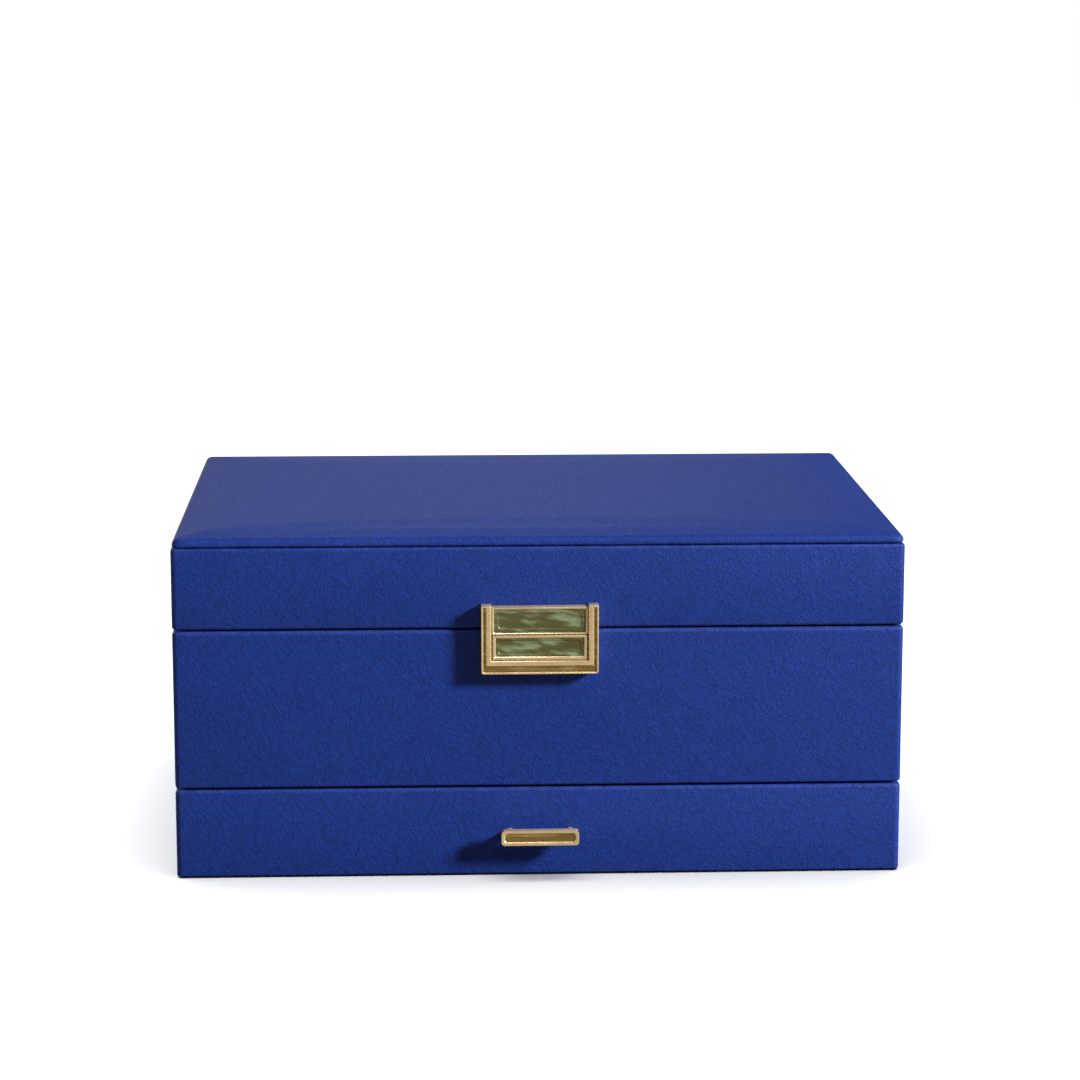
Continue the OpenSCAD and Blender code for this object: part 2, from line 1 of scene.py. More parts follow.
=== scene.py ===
"""A navy leather jewellery case, dressed around its engineered frame.

Lengths are in metres, in the frame's own axes: X to the right seen from the front, Y to the
back, Z up, with the table at Z = 0.
"""

import json
import logging
import math
from contextlib import contextmanager
from dataclasses import dataclass, field
from enum import Enum
from functools import lru_cache
from typing import Callable, Iterator, Sequence

import bmesh
import bpy
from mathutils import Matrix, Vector


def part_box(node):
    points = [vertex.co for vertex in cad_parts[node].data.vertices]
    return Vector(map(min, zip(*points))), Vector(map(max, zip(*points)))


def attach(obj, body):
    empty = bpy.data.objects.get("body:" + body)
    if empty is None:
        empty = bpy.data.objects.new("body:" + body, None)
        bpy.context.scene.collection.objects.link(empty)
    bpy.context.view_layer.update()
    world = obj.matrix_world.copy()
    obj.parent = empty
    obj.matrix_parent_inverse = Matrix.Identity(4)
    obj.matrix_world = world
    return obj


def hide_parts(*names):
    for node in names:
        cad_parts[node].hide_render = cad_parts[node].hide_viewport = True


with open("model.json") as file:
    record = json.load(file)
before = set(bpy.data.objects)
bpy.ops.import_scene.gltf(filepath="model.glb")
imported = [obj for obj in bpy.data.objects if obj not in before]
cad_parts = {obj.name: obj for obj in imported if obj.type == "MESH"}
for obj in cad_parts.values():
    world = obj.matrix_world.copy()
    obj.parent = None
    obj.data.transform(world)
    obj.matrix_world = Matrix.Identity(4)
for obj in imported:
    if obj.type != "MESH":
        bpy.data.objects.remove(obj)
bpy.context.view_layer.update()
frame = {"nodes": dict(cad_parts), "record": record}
MM = 0.001
# Least part of a face's normal along an axis, for a face that counts as square to it
ALONG = 0.9
# Points closer together than this are one point
MERGE = 0.002 * MM
log = logging.getLogger("jewellery_case")

Pair = tuple[float, float]
Vec3 = tuple[float, float, float]
FaceTest = Callable[[Vector, Vector], bool]
EdgeTest = Callable[[Vector, Vector, Vector], bool]


class Body(str, Enum):
    """The rigid bodies of the frame that pieces ride on."""

    CASE = "case"
    LID = "lid"
    DRAWER = "drawer"
    BUTTON = "latch_button"


class Slot(str, Enum):
    """The record's material slots."""

    LEATHER = "leather"
    VELVET = "velvet"
    BOARD = "board"
    GOLD = "gold"
    STEEL = "steel"
    FELT = "felt"
    FOAM = "foam"
    MIRROR = "mirror"


class Axis(int, Enum):
    """A coordinate axis, by its index in a vector."""

    X = 0
    Y = 1
    Z = 2


# ---- Edit-mode modelling ----


class Bench:
    """Edit-mode modelling on one mesh at a time, with selections made by place or normal."""

    @staticmethod
    def clear() -> None:
        """Deselects every object."""
        bpy.ops.object.select_all(action="DESELECT")

    @staticmethod
    def take(piece: bpy.types.Object) -> None:
        """Makes a piece the only selected object and the active one.

        Args:
            piece: The object to work on.
        """
        Bench.clear()
        piece.select_set(True)
        bpy.context.view_layer.objects.active = piece

    @staticmethod
    @contextmanager
    def edit(piece: bpy.types.Object) -> Iterator[None]:
        """Opens a piece in edit mode with nothing selected, and closes it afterwards.

        Args:
            piece: The mesh object to edit.
        """
        Bench.take(piece)
        bpy.ops.object.mode_set(mode="EDIT")
        bpy.ops.mesh.select_all(action="DESELECT")
        yield
        bpy.ops.object.mode_set(mode="OBJECT")

    @staticmethod
    def block(name: str, low: Vec3, high: Vec3) -> bpy.types.Object:
        """Adds a cube primitive at its size and place.

        Args:
            name: The piece's name.
            low: Lowest corner.
            high: Highest corner.

        Returns:
            The new object, with its place in its mesh.
        """
        Bench.clear()
        lo, hi = Vector(low), Vector(high)
        bpy.ops.mesh.primitive_cube_add(size=1.0, location=(lo + hi) / 2, scale=hi - lo)
        return Bench.name_it(name)

    @staticmethod
    def rod(name: str, start: Vec3, end: Vec3, radius: float, sides: int = 32) -> bpy.types.Object:
        """Adds a cylinder primitive between two points that differ along one axis.

        Args:
            name: The piece's name.
            start: Centre of the first end.
            end: Centre of the other end.
            radius: The rod's radius.
            sides: The number of faces around it.

        Returns:
            The new object, with its place in its mesh.
        """
        Bench.clear()
        a, b = Vector(start), Vector(end)
        turn = (b - a).to_track_quat("Z", "Y").to_euler()
        bpy.ops.mesh.primitive_cylinder_add(
            vertices=sides, radius=radius, depth=(b - a).length, location=(a + b) / 2, rotation=turn
        )
        return Bench.name_it(name)

    @staticmethod
    def name_it(name: str) -> bpy.types.Object:
        """Names the active object and moves its place into its mesh.

        Args:
            name: The new name.

        Returns:
            The active object.
        """
        piece = bpy.context.active_object
        piece.name = name
        piece.data.name = name
        bpy.ops.object.transform_apply(location=True, rotation=True, scale=True)
        return piece

    @staticmethod
    def unselected(kind: str) -> bmesh.types.BMesh:
        """Deselects all of the mesh in edit mode.

        Args:
            kind: What is selected from now on, FACE or EDGE.

        Returns:
            The mesh's edit data.
        """
        bpy.ops.mesh.select_mode(type=kind)
        bpy.ops.mesh.select_all(action="DESELECT")
        return bmesh.from_edit_mesh(bpy.context.edit_object.data)

    @staticmethod
    def faces(test: FaceTest) -> None:
        """Selects the faces of the mesh in edit mode that pass a test, and no others.

        Args:
            test: Takes a face's centre and normal.
        """
        shape = Bench.unselected("FACE")
        for face in shape.faces:
            if test(face.calc_center_median(), face.normal):
                face.select = True
        shape.select_flush_mode()
        bmesh.update_edit_mesh(bpy.context.edit_object.data)

    @staticmethod
    def edges(test: EdgeTest) -> None:
        """Selects the edges of the mesh in edit mode that pass a test, and no others.

        Args:
            test: Takes an edge's middle and its two ends.
        """
        shape = Bench.unselected("EDGE")
        for edge in shape.edges:
            a, b = edge.verts[0].co, edge.verts[1].co
            if test((a + b) / 2, a, b):
                edge.select = True
        bmesh.update_edit_mesh(bpy.context.edit_object.data)

    @staticmethod
    def place(rule: Callable[[Vector], Vec3]) -> None:
        """Moves the selected vertices of the mesh in edit mode.

        Args:
            rule: Takes a vertex's place and returns its new one.
        """
        mesh = bpy.context.edit_object.data
        shape = bmesh.from_edit_mesh(mesh)
        for vertex in shape.verts:
            if vertex.select:
                vertex.co = rule(vertex.co)
        bmesh.update_edit_mesh(mesh)

    @staticmethod
    def weld() -> None:
        """Merges the doubled vertices of the mesh in edit mode."""
        bpy.ops.mesh.select_all(action="SELECT")
        bpy.ops.mesh.remove_doubles(threshold=MERGE)

    @staticmethod
    def round_off(width: float, steps: int = 4) -> None:
        """Bevels the selected edges into a round.

        Args:
            width: Distance from the edge at which the round starts.
            steps: Number of faces across the round.
        """
        bpy.ops.mesh.bevel(
            offset_type="OFFSET", offset=width, segments=steps, profile=0.5, affect="EDGES"
        )

    @staticmethod
    def cut(axis: Axis, place: float) -> None:
        """Cuts the selected faces with a plane square to an axis.

        Args:
            axis: The plane's normal.
            place: The plane's coordinate on that axis.
        """
        normal = [0.0, 0.0, 0.0]
        normal[axis] = 1.0
        point = [place * n for n in normal]
        bpy.ops.mesh.bisect(plane_co=point, plane_no=normal)

    @staticmethod
    def window(keep: FaceTest, cuts: Sequence[tuple[Axis, float]], inside: FaceTest) -> None:
        """Cuts an opening in a sheet.

        Args:
            keep: Picks the faces that the planes cut.
            cuts: The cutting planes.
            inside: Picks the faces that are then removed.
        """
        for axis, place in cuts:
            Bench.faces(keep)
            Bench.cut(axis, place)
        Bench.faces(inside)
        bpy.ops.mesh.delete(type="FACE")

    @staticmethod
    def modify(piece: bpy.types.Object, kind: str, **settings: object) -> None:
        """Adds a modifier to a piece and applies it.

        Args:
            piece: The mesh object.
            kind: The modifier's type.
            settings: Its properties.
        """
        Bench.take(piece)
        modifier = piece.modifiers.new(kind.title(), kind)
        for key, value in settings.items():
            setattr(modifier, key, value)
        bpy.ops.object.modifier_apply(modifier=modifier.name)

    @staticmethod
    def wall(piece: bpy.types.Object, thickness: float) -> None:
        """Gives an open sheet a thickness on its inner side.

        Args:
            piece: The sheet.
            thickness: The wall's thickness.
        """
        Bench.modify(piece, "SOLIDIFY", thickness=thickness, offset=-1.0, use_even_offset=True)

    @staticmethod
    def soften(piece: bpy.types.Object, width: float, steps: int = 2, angle: float = 35.0) -> None:
        """Rounds every edge of a piece that is sharper than an angle.

        Args:
            piece: The mesh object.
            width: The round's width.
            steps: Number of faces across the round.
            angle: The least angle in degrees.
        """
        Bench.modify(
            piece,
            "BEVEL",
            width=width,
            segments=steps,
            limit_method="ANGLE",
            angle_limit=math.radians(angle),
        )

    @staticmethod
    def smooth(piece: bpy.types.Object, angle: float = 32.0) -> None:
        """Shades a piece smooth, with edges sharper than an angle left crisp.

        Args:
            piece: The mesh object.
            angle: The angle in degrees.
        """
        Bench.take(piece)
        bpy.ops.object.shade_smooth_by_angle(angle=math.radians(angle))

    @staticmethod
    def mark(piece: bpy.types.Object, test: FaceTest) -> None:
        """Gives the second material to the faces that pass a test.

        Args:
            piece: The mesh object.
            test: Takes a face's centre and normal.
        """
        for face in piece.data.polygons:
            face.material_index = int(test(face.center, face.normal))

    @staticmethod
    def join(name: str, pieces: Sequence[bpy.types.Object]) -> bpy.types.Object:
        """Joins several pieces into the first.

        Args:
            name: The joined piece's name.
            pieces: The pieces.

        Returns:
            The joined piece.
        """
        Bench.clear()
        for piece in pieces:
            piece.select_set(True)
        bpy.context.view_layer.objects.active = pieces[0]
        bpy.ops.object.join()
        pieces[0].name = name
        return pieces[0]

    @staticmethod
    def sink(step: Pair) -> None:
        """Insets the selected faces and sinks them.

        Args:
            step: The width and the depth of the slope around them.
        """
        bpy.ops.mesh.inset(thickness=step[0], depth=-step[1])

    @staticmethod
    def raw_copy(node: str, name: str) -> bpy.types.Object:
        """Copies a frame node as it is, with its own mesh.

        Args:
            node: The frame node.
            name: The new piece's name.

        Returns:
            The new piece.
        """
        piece = bpy.data.objects.new(name, frame["nodes"][node].data.copy())
        bpy.context.scene.collection.objects.link(piece)
        return piece

    @staticmethod
    def copy_of(node: str, name: str, width: float, steps: int = 2) -> bpy.types.Object:
        """Copies a frame node's shape and rounds its edges.

        Args:
            node: The frame node.
            name: The new piece's name.
            width: The round's width.
            steps: Number of faces across the round.

        Returns:
            The new piece.
        """
        piece = Bench.raw_copy(node, name)
        piece.data.materials.clear()
        with Bench.edit(piece):
            Bench.weld()
            bpy.ops.mesh.dissolve_limited(angle_limit=math.radians(0.5))
        Bench.take(piece)
        bpy.ops.mesh.customdata_custom_splitnormals_clear()
        if width:
            Bench.soften(piece, width, steps)
        Bench.smooth(piece)
        return piece

    @staticmethod
    def twin(piece: bpy.types.Object, name: str, move: Vec3) -> bpy.types.Object:
        """Copies a finished piece to another place, with its own mesh.

        Args:
            piece: The piece to copy.
            name: The copy's name.
            move: The way to the new place.

        Returns:
            The copy.
        """
        Bench.take(piece)
        bpy.ops.object.duplicate()
        copy = bpy.context.active_object
        copy.location = Vector(move)
        bpy.ops.object.transform_apply(location=True, rotation=False, scale=False)
        copy.name = name
        copy.data.name = name
        return copy


def hand_over(
    piece: bpy.types.Object,
    body: Body,
    slot: Slot,
    finishes: Sequence[bpy.types.Material],
    *nodes: str,
    second: FaceTest | None = None,
) -> bpy.types.Object:
    """Gives a finished piece its materials, its body and the frame nodes it stands for.

    Args:
        piece: The piece.
        body: The body it rides on.
        slot: The record's material slot; not used.
        finishes: Its materials.
        nodes: The frame nodes that it replaces.
        second: Picks the faces that take the second material.

    Returns:
        The piece.
    """
    for finish in finishes:
        piece.data.materials.append(finish)
    if second is not None:
        Bench.mark(piece, second)
    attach(piece, body.value)
    if nodes:
        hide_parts(*nodes)
    log.info("%s: %d faces on %s", piece.name, len(piece.data.polygons), body.value)
    return piece


# ---- Node building ----


class Graph:
    """A shader node tree that is being filled."""

    def __init__(self, tree: bpy.types.NodeTree) -> None:
        """Starts on a tree.

        Args:
            tree: A material's or a group's node tree.
        """
        self.tree = tree
        self.count = 0

    def add(self, kind: str, **settings: object) -> bpy.types.Node:
        """Adds a node.

        Args:
            kind: The node's type without the ShaderNode prefix, or NodeGroupInput/Output.
            settings: Its properties.

        Returns:
            The node.
        """
        full = kind if kind.startswith("NodeGroup") else "ShaderNode" + kind
        node = self.tree.nodes.new(full)
        node.location = (200 * self.count, 0)
        self.count += 1
        for key, value in settings.items():
            setattr(node, key, value)
        return node

    def join(self, source: bpy.types.NodeSocket, target: bpy.types.NodeSocket) -> None:
        """Links an output to an input."""
        self.tree.links.new(source, target)

    def math(self, operation: str, *values: object) -> bpy.types.NodeSocket:
        """Adds a Math node.

        Args:
            operation: The node's operation.
            values: Its numbers or sockets, in order.

        Returns:
            Its output.
        """
        node = self.add("Math", operation=operation)
        for index, value in enumerate(values):
            self.feed(value, node.inputs[index])
        return node.outputs[0]

    def scaled(self, vector: object, factors: object) -> bpy.types.NodeSocket:
        """Multiplies coordinates by a factor for each axis.

        Args:
            vector: The coordinates.
            factors: Three factors, or a socket.

        Returns:
            The scaled coordinates.
        """
        node = self.add("VectorMath", operation="MULTIPLY")
        self.feed(vector, node.inputs[0])
        self.feed(factors, node.inputs[1])
        return node.outputs[0]

    def turned(self, vector: object, angle: float) -> bpy.types.NodeSocket:
        """Turns coordinates about the Y axis.

        Args:
            vector: The coordinates.
            angle: The angle in radians.

        Returns:
            The turned coordinates.
        """
        node = self.add("VectorRotate", rotation_type="Y_AXIS")
        self.feed(vector, node.inputs["Vector"])
        node.inputs["Angle"].default_value = angle
        return node.outputs[0]

    def net(self, vector: object, scale: object) -> bpy.types.NodeSocket:
        """Adds a Voronoi texture that measures the way to the nearest cell border.

        Args:
            vector: The coordinates.
            scale: Cells per metre.

        Returns:
            The distance.
        """
        node = self.add("TexVoronoi", feature="DISTANCE_TO_EDGE")
        self.feed(vector, node.inputs["Vector"])
        self.feed(scale, node.inputs["Scale"])
        return node.outputs["Distance"]

    def feed(self, value: object, target: bpy.types.NodeSocket) -> None:
        """Sets an input to a number, or links a socket to it.

        Args:
            value: A number, a colour, a socket or None.
            target: The input.
        """
        if isinstance(value, bpy.types.NodeSocket):
            self.join(value, target)
        elif value is not None:
            target.default_value = value

    def spread(
        self, value: object, low: object, high: object, to_low: float = 0.0, to_high: float = 1.0
    ) -> bpy.types.NodeSocket:
        """Adds a smooth Map Range node.

        Args:
            value: The socket to map.
            low: The value that gives to_low, or a socket.
            high: The value that gives to_high, or a socket.
            to_low: Lowest result.
            to_high: Highest result.

        Returns:
            Its output.
        """
        node = self.add("MapRange", interpolation_type="SMOOTHSTEP")
        for index, item in enumerate((value, low, high, to_low, to_high)):
            self.feed(item, node.inputs[index])
        return node.outputs[0]

    def noise(self, vector: object, scale: object, detail: float = 3.0) -> bpy.types.NodeSocket:
        """Adds a Noise Texture node.

        Args:
            vector: The coordinates.
            scale: Features per metre.
            detail: Octaves.

        Returns:
            Its factor output.
        """
        node = self.add("TexNoise")
        self.feed(vector, node.inputs["Vector"])
        self.feed(scale, node.inputs["Scale"])
        node.inputs["Detail"].default_value = detail
        return node.outputs[0]

    def blend(self, factor: object, first: object, second: object) -> bpy.types.NodeSocket:
        """Adds a colour Mix node.

        Args:
            factor: Number or socket.
            first: Colour or socket at 0.
            second: Colour or socket at 1.

        Returns:
            Its colour output.
        """
        node = self.add("Mix", data_type="RGBA")
        self.feed(factor, node.inputs[0])
        self.feed(first, node.inputs[6])
        self.feed(second, node.inputs[7])
        return node.outputs[2]


class Effects:
    """The shader node groups that several finishes share. Each is built once."""

    @staticmethod
    def group(
        name: str,
        takes: Sequence[tuple[str, str, object]],
        gives: Sequence[tuple[str, str]],
    ) -> tuple[bpy.types.NodeTree, Graph, bpy.types.NodeOutputs, bpy.types.NodeInputs]:
        """Starts a node group with named sockets.

        Args:
            name: The group's name.
            takes: Name, socket type and default of each input.
            gives: Name and socket type of each output.

        Returns:
            The group, a graph on it, and the sockets that bring its inputs and take its outputs.
        """
        tree = bpy.data.node_groups.new(name, "ShaderNodeTree")
        for label, kind, default in takes:
            socket = tree.interface.new_socket(label, in_out="INPUT", socket_type=kind)
            if default is not None:
                socket.default_value = default
        for label, kind in gives:
            tree.interface.new_socket(label, in_out="OUTPUT", socket_type=kind)
        graph = Graph(tree)
        return tree, graph, graph.add("NodeGroupInput").outputs, graph.add("NodeGroupOutput").inputs

    @staticmethod
    @lru_cache
    def pebble() -> bpy.types.NodeTree:
        """Fine pebbled hide: small domed cells with creases, drawn out along a slant.

        Returns:
            A group that takes Vector, Cell and Draw and gives Height and a mask of the creases,
            where shade is painted.
        """
        tree, g, start, end = Effects.group(
            "pebble",
            [
                ("Vector", "NodeSocketVector", None),
                ("Cell", "NodeSocketFloat", 1.0),
                ("Draw", "NodeSocketFloat", 0.55),
            ],
            [("Height", "NodeSocketFloat"), ("CreaseShade", "NodeSocketFloat")],
        )
        wander, slant = 2.4 * MM, 0.65
        warp = g.add("TexNoise")
        g.join(start["Vector"], warp.inputs["Vector"])
        warp.inputs["Scale"].default_value = 240.0
        warp.inputs["Detail"].default_value = 2.0
        shift = g.add("VectorMath", operation="MULTIPLY_ADD")
        g.join(warp.outputs["Color"], shift.inputs[0])
        shift.inputs[1].default_value = (wander, wander, wander)
        g.join(start["Vector"], shift.inputs[2])
        draw = g.add("CombineXYZ")
        draw.inputs[0].default_value = 1.0
        draw.inputs[1].default_value = 1.0
        g.join(start["Draw"], draw.inputs[2])
        hide = g.scaled(g.turned(shift.outputs[0], slant), draw.outputs[0])
        density = g.math("DIVIDE", 1000.0, start["Cell"])
        dome = g.spread(g.net(hide, density), 0.0, 0.4)
        fold = g.spread(g.net(hide, g.math("MULTIPLY", density, 0.4)), 0.0, 0.22)
        fine = g.noise(hide, g.math("MULTIPLY", density, 1.7), 3.0)
        swell = g.noise(hide, g.math("MULTIPLY", density, 0.5), 2.0)
        height = g.math("MULTIPLY_ADD", dome, 0.3, g.math("MULTIPLY", fold, 0.08))
        height = g.math("MULTIPLY_ADD", fine, 0.3, height)
        g.join(g.math("MULTIPLY_ADD", swell, 0.38, height), end["Height"])
        # Where shade is painted into the colour: the cell borders and the folds
        crease_shade = g.math("MULTIPLY", g.math("SUBTRACT", 1.0, dome), g.math("SUBTRACT", 1.2, fold))
        g.join(crease_shade, end["CreaseShade"])
        return tree

    @staticmethod
    @lru_cache
    def mottle() -> bpy.types.NodeTree:
        """Slow, uneven patches, as dye and handling leave them.

        Returns:
            A group that takes Vector, Scale and Contrast and gives Mask.
        """
        tree, g, start, end = Effects.group(
            "mottle",
            [
                ("Vector", "NodeSocketVector", None),
                ("Scale", "NodeSocketFloat", 30.0),
                ("Contrast", "NodeSocketFloat", 0.25),
            ],
            [("Mask", "NodeSocketFloat")],
        )
        patches = g.noise(start["Vector"], start["Scale"], 5.0)
        low = g.math("SUBTRACT", 0.5, start["Contrast"])
        high = g.math("ADD", 0.5, start["Contrast"])
        g.join(g.spread(patches, low, high), end["Mask"])
        return tree

    @staticmethod
    @lru_cache
    def rim_rub_and_highlight() -> bpy.types.NodeTree:
        """A lighter band along a level: wear where hands and closing rims rub, with a painted
        highlight.

        Returns:
            A group that takes Vector, Level and Width and gives Mask.
        """
        tree, g, start, end = Effects.group(
            "rim_rub_and_highlight",
            [
                ("Vector", "NodeSocketVector", None),
                ("Level", "NodeSocketFloat", 0.09),
                ("Width", "NodeSocketFloat", 0.001),
            ],
            [("Mask", "NodeSocketFloat")],
        )
        parts = g.add("SeparateXYZ")
        g.join(start["Vector"], parts.inputs[0])
        away = g.math("ABSOLUTE", g.math("SUBTRACT", parts.outputs[2], start["Level"]))
        closeness = g.math("SUBTRACT", 1.0, g.math("DIVIDE", away, start["Width"]))
        uneven = g.spread(g.noise(start["Vector"], 220.0, 4.0), 0.25, 0.7)
        g.join(g.math("MULTIPLY", g.math("MAXIMUM", closeness, 0.0), uneven), end["Mask"])
        return tree

    @staticmethod
    @lru_cache
    def nap() -> bpy.types.NodeTree:
        """Short pile: fine fibres and soft brushed patches.

        Returns:
            A group that takes Vector and gives Height and Brush.
        """
        tree, g, start, end = Effects.group(
            "nap",
            [("Vector", "NodeSocketVector", None)],
            [("Height", "NodeSocketFloat"), ("Brush", "NodeSocketFloat")],
        )
        fibres = g.noise(start["Vector"], 3800.0, 2.0)
        tufts = g.noise(start["Vector"], 900.0, 3.0)
        pile = g.math("MULTIPLY_ADD", fibres, 0.6, g.math("MULTIPLY", tufts, 0.4))
        g.join(pile, end["Height"])
        brushed = g.noise(start["Vector"], 46.0, 4.0)
        g.join(g.spread(brushed, 0.34, 0.66), end["Brush"])
        return tree

    @staticmethod
    @lru_cache
    def hairlines() -> bpy.types.NodeTree:
        """Fine rubbing lines on polished metal, drawn out along X.

        Returns:
            A group that takes Vector and gives Mask.
        """
        tree, g, start, end = Effects.group(
            "hairlines",
            [("Vector", "NodeSocketVector", None)],
            [("Mask", "NodeSocketFloat")],
        )
        stretch = g.scaled(start["Vector"], (60.0, 1500.0, 1500.0))
        g.join(g.spread(g.noise(stretch, 1.0, 4.0), 0.35, 0.7), end["Mask"])
        return tree


class Paint:
    """A material that is being filled around one Principled BSDF."""

    def __init__(self, name: str) -> None:
        """Starts a material.

        Args:
            name: The material's name.
        """
        self.material = bpy.data.materials.new(name)
        self.material.use_nodes = True
        self.graph = Graph(self.material.node_tree)
        self.shader = self.material.node_tree.nodes["Principled BSDF"]
        self.place = self.graph.add("TexCoord").outputs["Object"]

    def effect(self, tree: bpy.types.NodeTree, **values: float) -> bpy.types.Node:
        """Places a shared node group on the piece's own coordinates.

        Args:
            tree: The group.
            values: Its inputs by name.

        Returns:
            The group node.
        """
        node = self.graph.add("Group")
        node.node_tree = tree
        self.graph.join(self.place, node.inputs["Vector"])
        for label, value in values.items():
            node.inputs[label].default_value = value
        return node

    def set(self, **values: object) -> None:
        """Sets or links the shader's inputs; an underscore stands for a space.

        Args:
            values: The inputs by name.
        """
        for label, value in values.items():
            self.graph.feed(value, self.shader.inputs[label.replace("_", " ")])

    def bump(self, height: object, strength: float, depth: float) -> None:
        """Adds a Bump node, on top of those already there.

        Args:
            height: The height socket.
            strength: The bump's strength.
            depth: The height's full depth in metres.
        """
        node = self.graph.add("Bump")
        node.inputs["Strength"].default_value = strength
        node.inputs["Distance"].default_value = depth
        self.graph.feed(height, node.inputs["Height"])
        normal = self.shader.inputs["Normal"]
        if normal.is_linked:
            self.graph.join(normal.links[0].from_socket, node.inputs["Normal"])
        self.graph.join(node.outputs["Normal"], normal)


def rgb(red: float, green: float, blue: float) -> tuple[float, float, float, float]:
    """Makes a linear colour from display values of 0 to 255.

    Args:
        red: Red.
        green: Green.
        blue: Blue.

    Returns:
        The colour with full alpha.
    """

    def linear(value: float) -> float:
        part = value / 255.0
        return part / 12.92 if part <= 0.04045 else ((part + 0.055) / 1.055) ** 2.4

    return (linear(red), linear(green), linear(blue), 1.0)


# ---- Finishes ----


@dataclass(frozen=True)
class Leather:
    """Fine pebbled navy hide: painted shade in its creases; rims rubbed, with a painted highlight.
    """

    name: str
    # Levels of the rims that are rubbed and carry a painted highlight
    rims: tuple[float, ...]
    # Colours of the dips, the tops, the rubbed rims with their painted highlight, and the painted
    # crease shade
    deep: Vec3 = (17, 46, 126)
    worn: Vec3 = (25, 59, 147)
    rubbed: Vec3 = (70, 92, 165)
    crease_shade: Vec3 = (10, 20, 70)
    # Width of a grain cell in millimetres, and width of the rubbed, painted-highlight band at a rim
    cell: float = 0.9
    rim_band_width: float = 1.6 * MM
    roughness: Pair = (0.52, 0.68)
    relief: float = 0.23 * MM

    def build(self) -> bpy.types.Material:
        """Builds the material."""
        paint = Paint(self.name)
        g = paint.graph
        grain = paint.effect(Effects.pebble(), Cell=self.cell)
        patches = paint.effect(Effects.mottle(), Scale=18.0, Contrast=0.3).outputs["Mask"]
        clouds = paint.effect(Effects.mottle(), Scale=120.0, Contrast=0.22).outputs["Mask"]
        height = grain.outputs["Height"]
        tone = g.math("MULTIPLY_ADD", patches, 0.18, g.math("MULTIPLY", clouds, 0.14))
        lift = g.math("MULTIPLY_ADD", height, 0.5, tone)
        rub_and_highlight: object = 0.0
        for level in self.rims:
            band = paint.effect(Effects.rim_rub_and_highlight(), Level=level, Width=self.rim_band_width)
            rub_and_highlight = g.math("MAXIMUM", band.outputs["Mask"], rub_and_highlight)
        colour = g.blend(lift, rgb(*self.deep), rgb(*self.worn))
        # Wear with a painted highlight: the rims blended towards a lighter navy
        worn = g.blend(g.math("MULTIPLY", rub_and_highlight, 0.3), colour, rgb(*self.rubbed))
        # Painted shade: the grain's creases darkened towards deep navy
        depth = g.math("MULTIPLY", grain.outputs["CreaseShade"], 0.32)
        shade = g.blend(depth, worn, rgb(*self.crease_shade))
        paint.set(
            Base_Color=shade,
            Roughness=g.spread(height, 0.1, 0.9, self.roughness[1], self.roughness[0]),
            Specular_IOR_Level=0.24,
        )
        paint.bump(g.noise(paint.place, 34.0, 3.0), 0.5, 0.5 * MM)
        paint.bump(height, 0.8, self.relief)
        return paint.material


@dataclass(frozen=True)
class Velvet:
    """Short-pile lining cloth."""

    name: str
    dark: Vec3
    light: Vec3

    def build(self) -> bpy.types.Material:
        """Builds the material."""
        paint = Paint(self.name)
        g = paint.graph
        pile = paint.effect(Effects.nap())
        brushed = g.math("MULTIPLY", pile.outputs["Brush"], 0.24)
        tone = g.math("MULTIPLY_ADD", pile.outputs["Height"], 0.6, brushed)
        paint.set(
            Base_Color=g.blend(tone, rgb(*self.dark), rgb(*self.light)),
            Roughness=0.92,
            Specular_IOR_Level=0.2,
            Sheen_Weight=0.6,
            Sheen_Roughness=0.45,
        )
        paint.bump(pile.outputs["Height"], 0.6, 0.25 * MM)
        return paint.material


@dataclass(frozen=True)
class Metal:
    """Polished or brushed metal with fine rubbing lines."""

    name: str
    base: Vec3
    rubbed: Vec3
    roughness: Pair = (0.16, 0.3)
    metallic: float = 1.0

    def build(self) -> bpy.types.Material:
        """Builds the material."""
        paint = Paint(self.name)
        g = paint.graph
        lines = paint.effect(Effects.hairlines()).outputs["Mask"]
        smears = paint.effect(Effects.mottle(), Scale=260.0, Contrast=0.24).outputs["Mask"]
        mixed = g.math("ADD", g.math("MULTIPLY", lines, 0.5), g.math("MULTIPLY", smears, 0.5))
        paint.set(
            Base_Color=g.blend(mixed, rgb(*self.base), rgb(*self.rubbed)),
            Metallic=self.metallic,
            Roughness=g.spread(mixed, 0.0, 1.0, *self.roughness),
        )
        paint.bump(lines, 0.12, 0.02 * MM)
        return paint.material


@dataclass(frozen=True)
class PaintedReflectionPanel:
    """Panel of the latch or the pull under lacquer; its dark tint and pale streaks are painted
    reflections.
    """

    name: str
    dark: Vec3
    light: Vec3
    # Slant of the painted reflection streaks in radians, and their count per metre along each axis
    slant: float = -0.14
    drift: Vec3 = (75.0, 200.0, 300.0)
    metallic: float = 0.3

    def build(self) -> bpy.types.Material:
        """Builds the material."""
        paint = Paint(self.name)
        g = paint.graph
        stretch = g.scaled(g.turned(paint.place, self.slant), self.drift)
        broad = g.noise(stretch, 1.0, 1.5)
        wisps = g.noise(stretch, 3.0, 3.0)
        mixed = g.math("MULTIPLY_ADD", wisps, 0.3, g.math("MULTIPLY", broad, 0.7))
        # Painted reflection: pale streaks over the dark tint
        reflection_streaks = g.spread(mixed, 0.46, 0.68)
        lines = paint.effect(Effects.hairlines()).outputs["Mask"]
        paint.set(
            Base_Color=g.blend(reflection_streaks, rgb(*self.dark), rgb(*self.light)),
            Metallic=self.metallic,
            Roughness=g.spread(lines, 0.0, 1.0, 0.2, 0.3),
            Coat_Weight=0.5,
            Coat_Roughness=0.1,
        )
        return paint.material


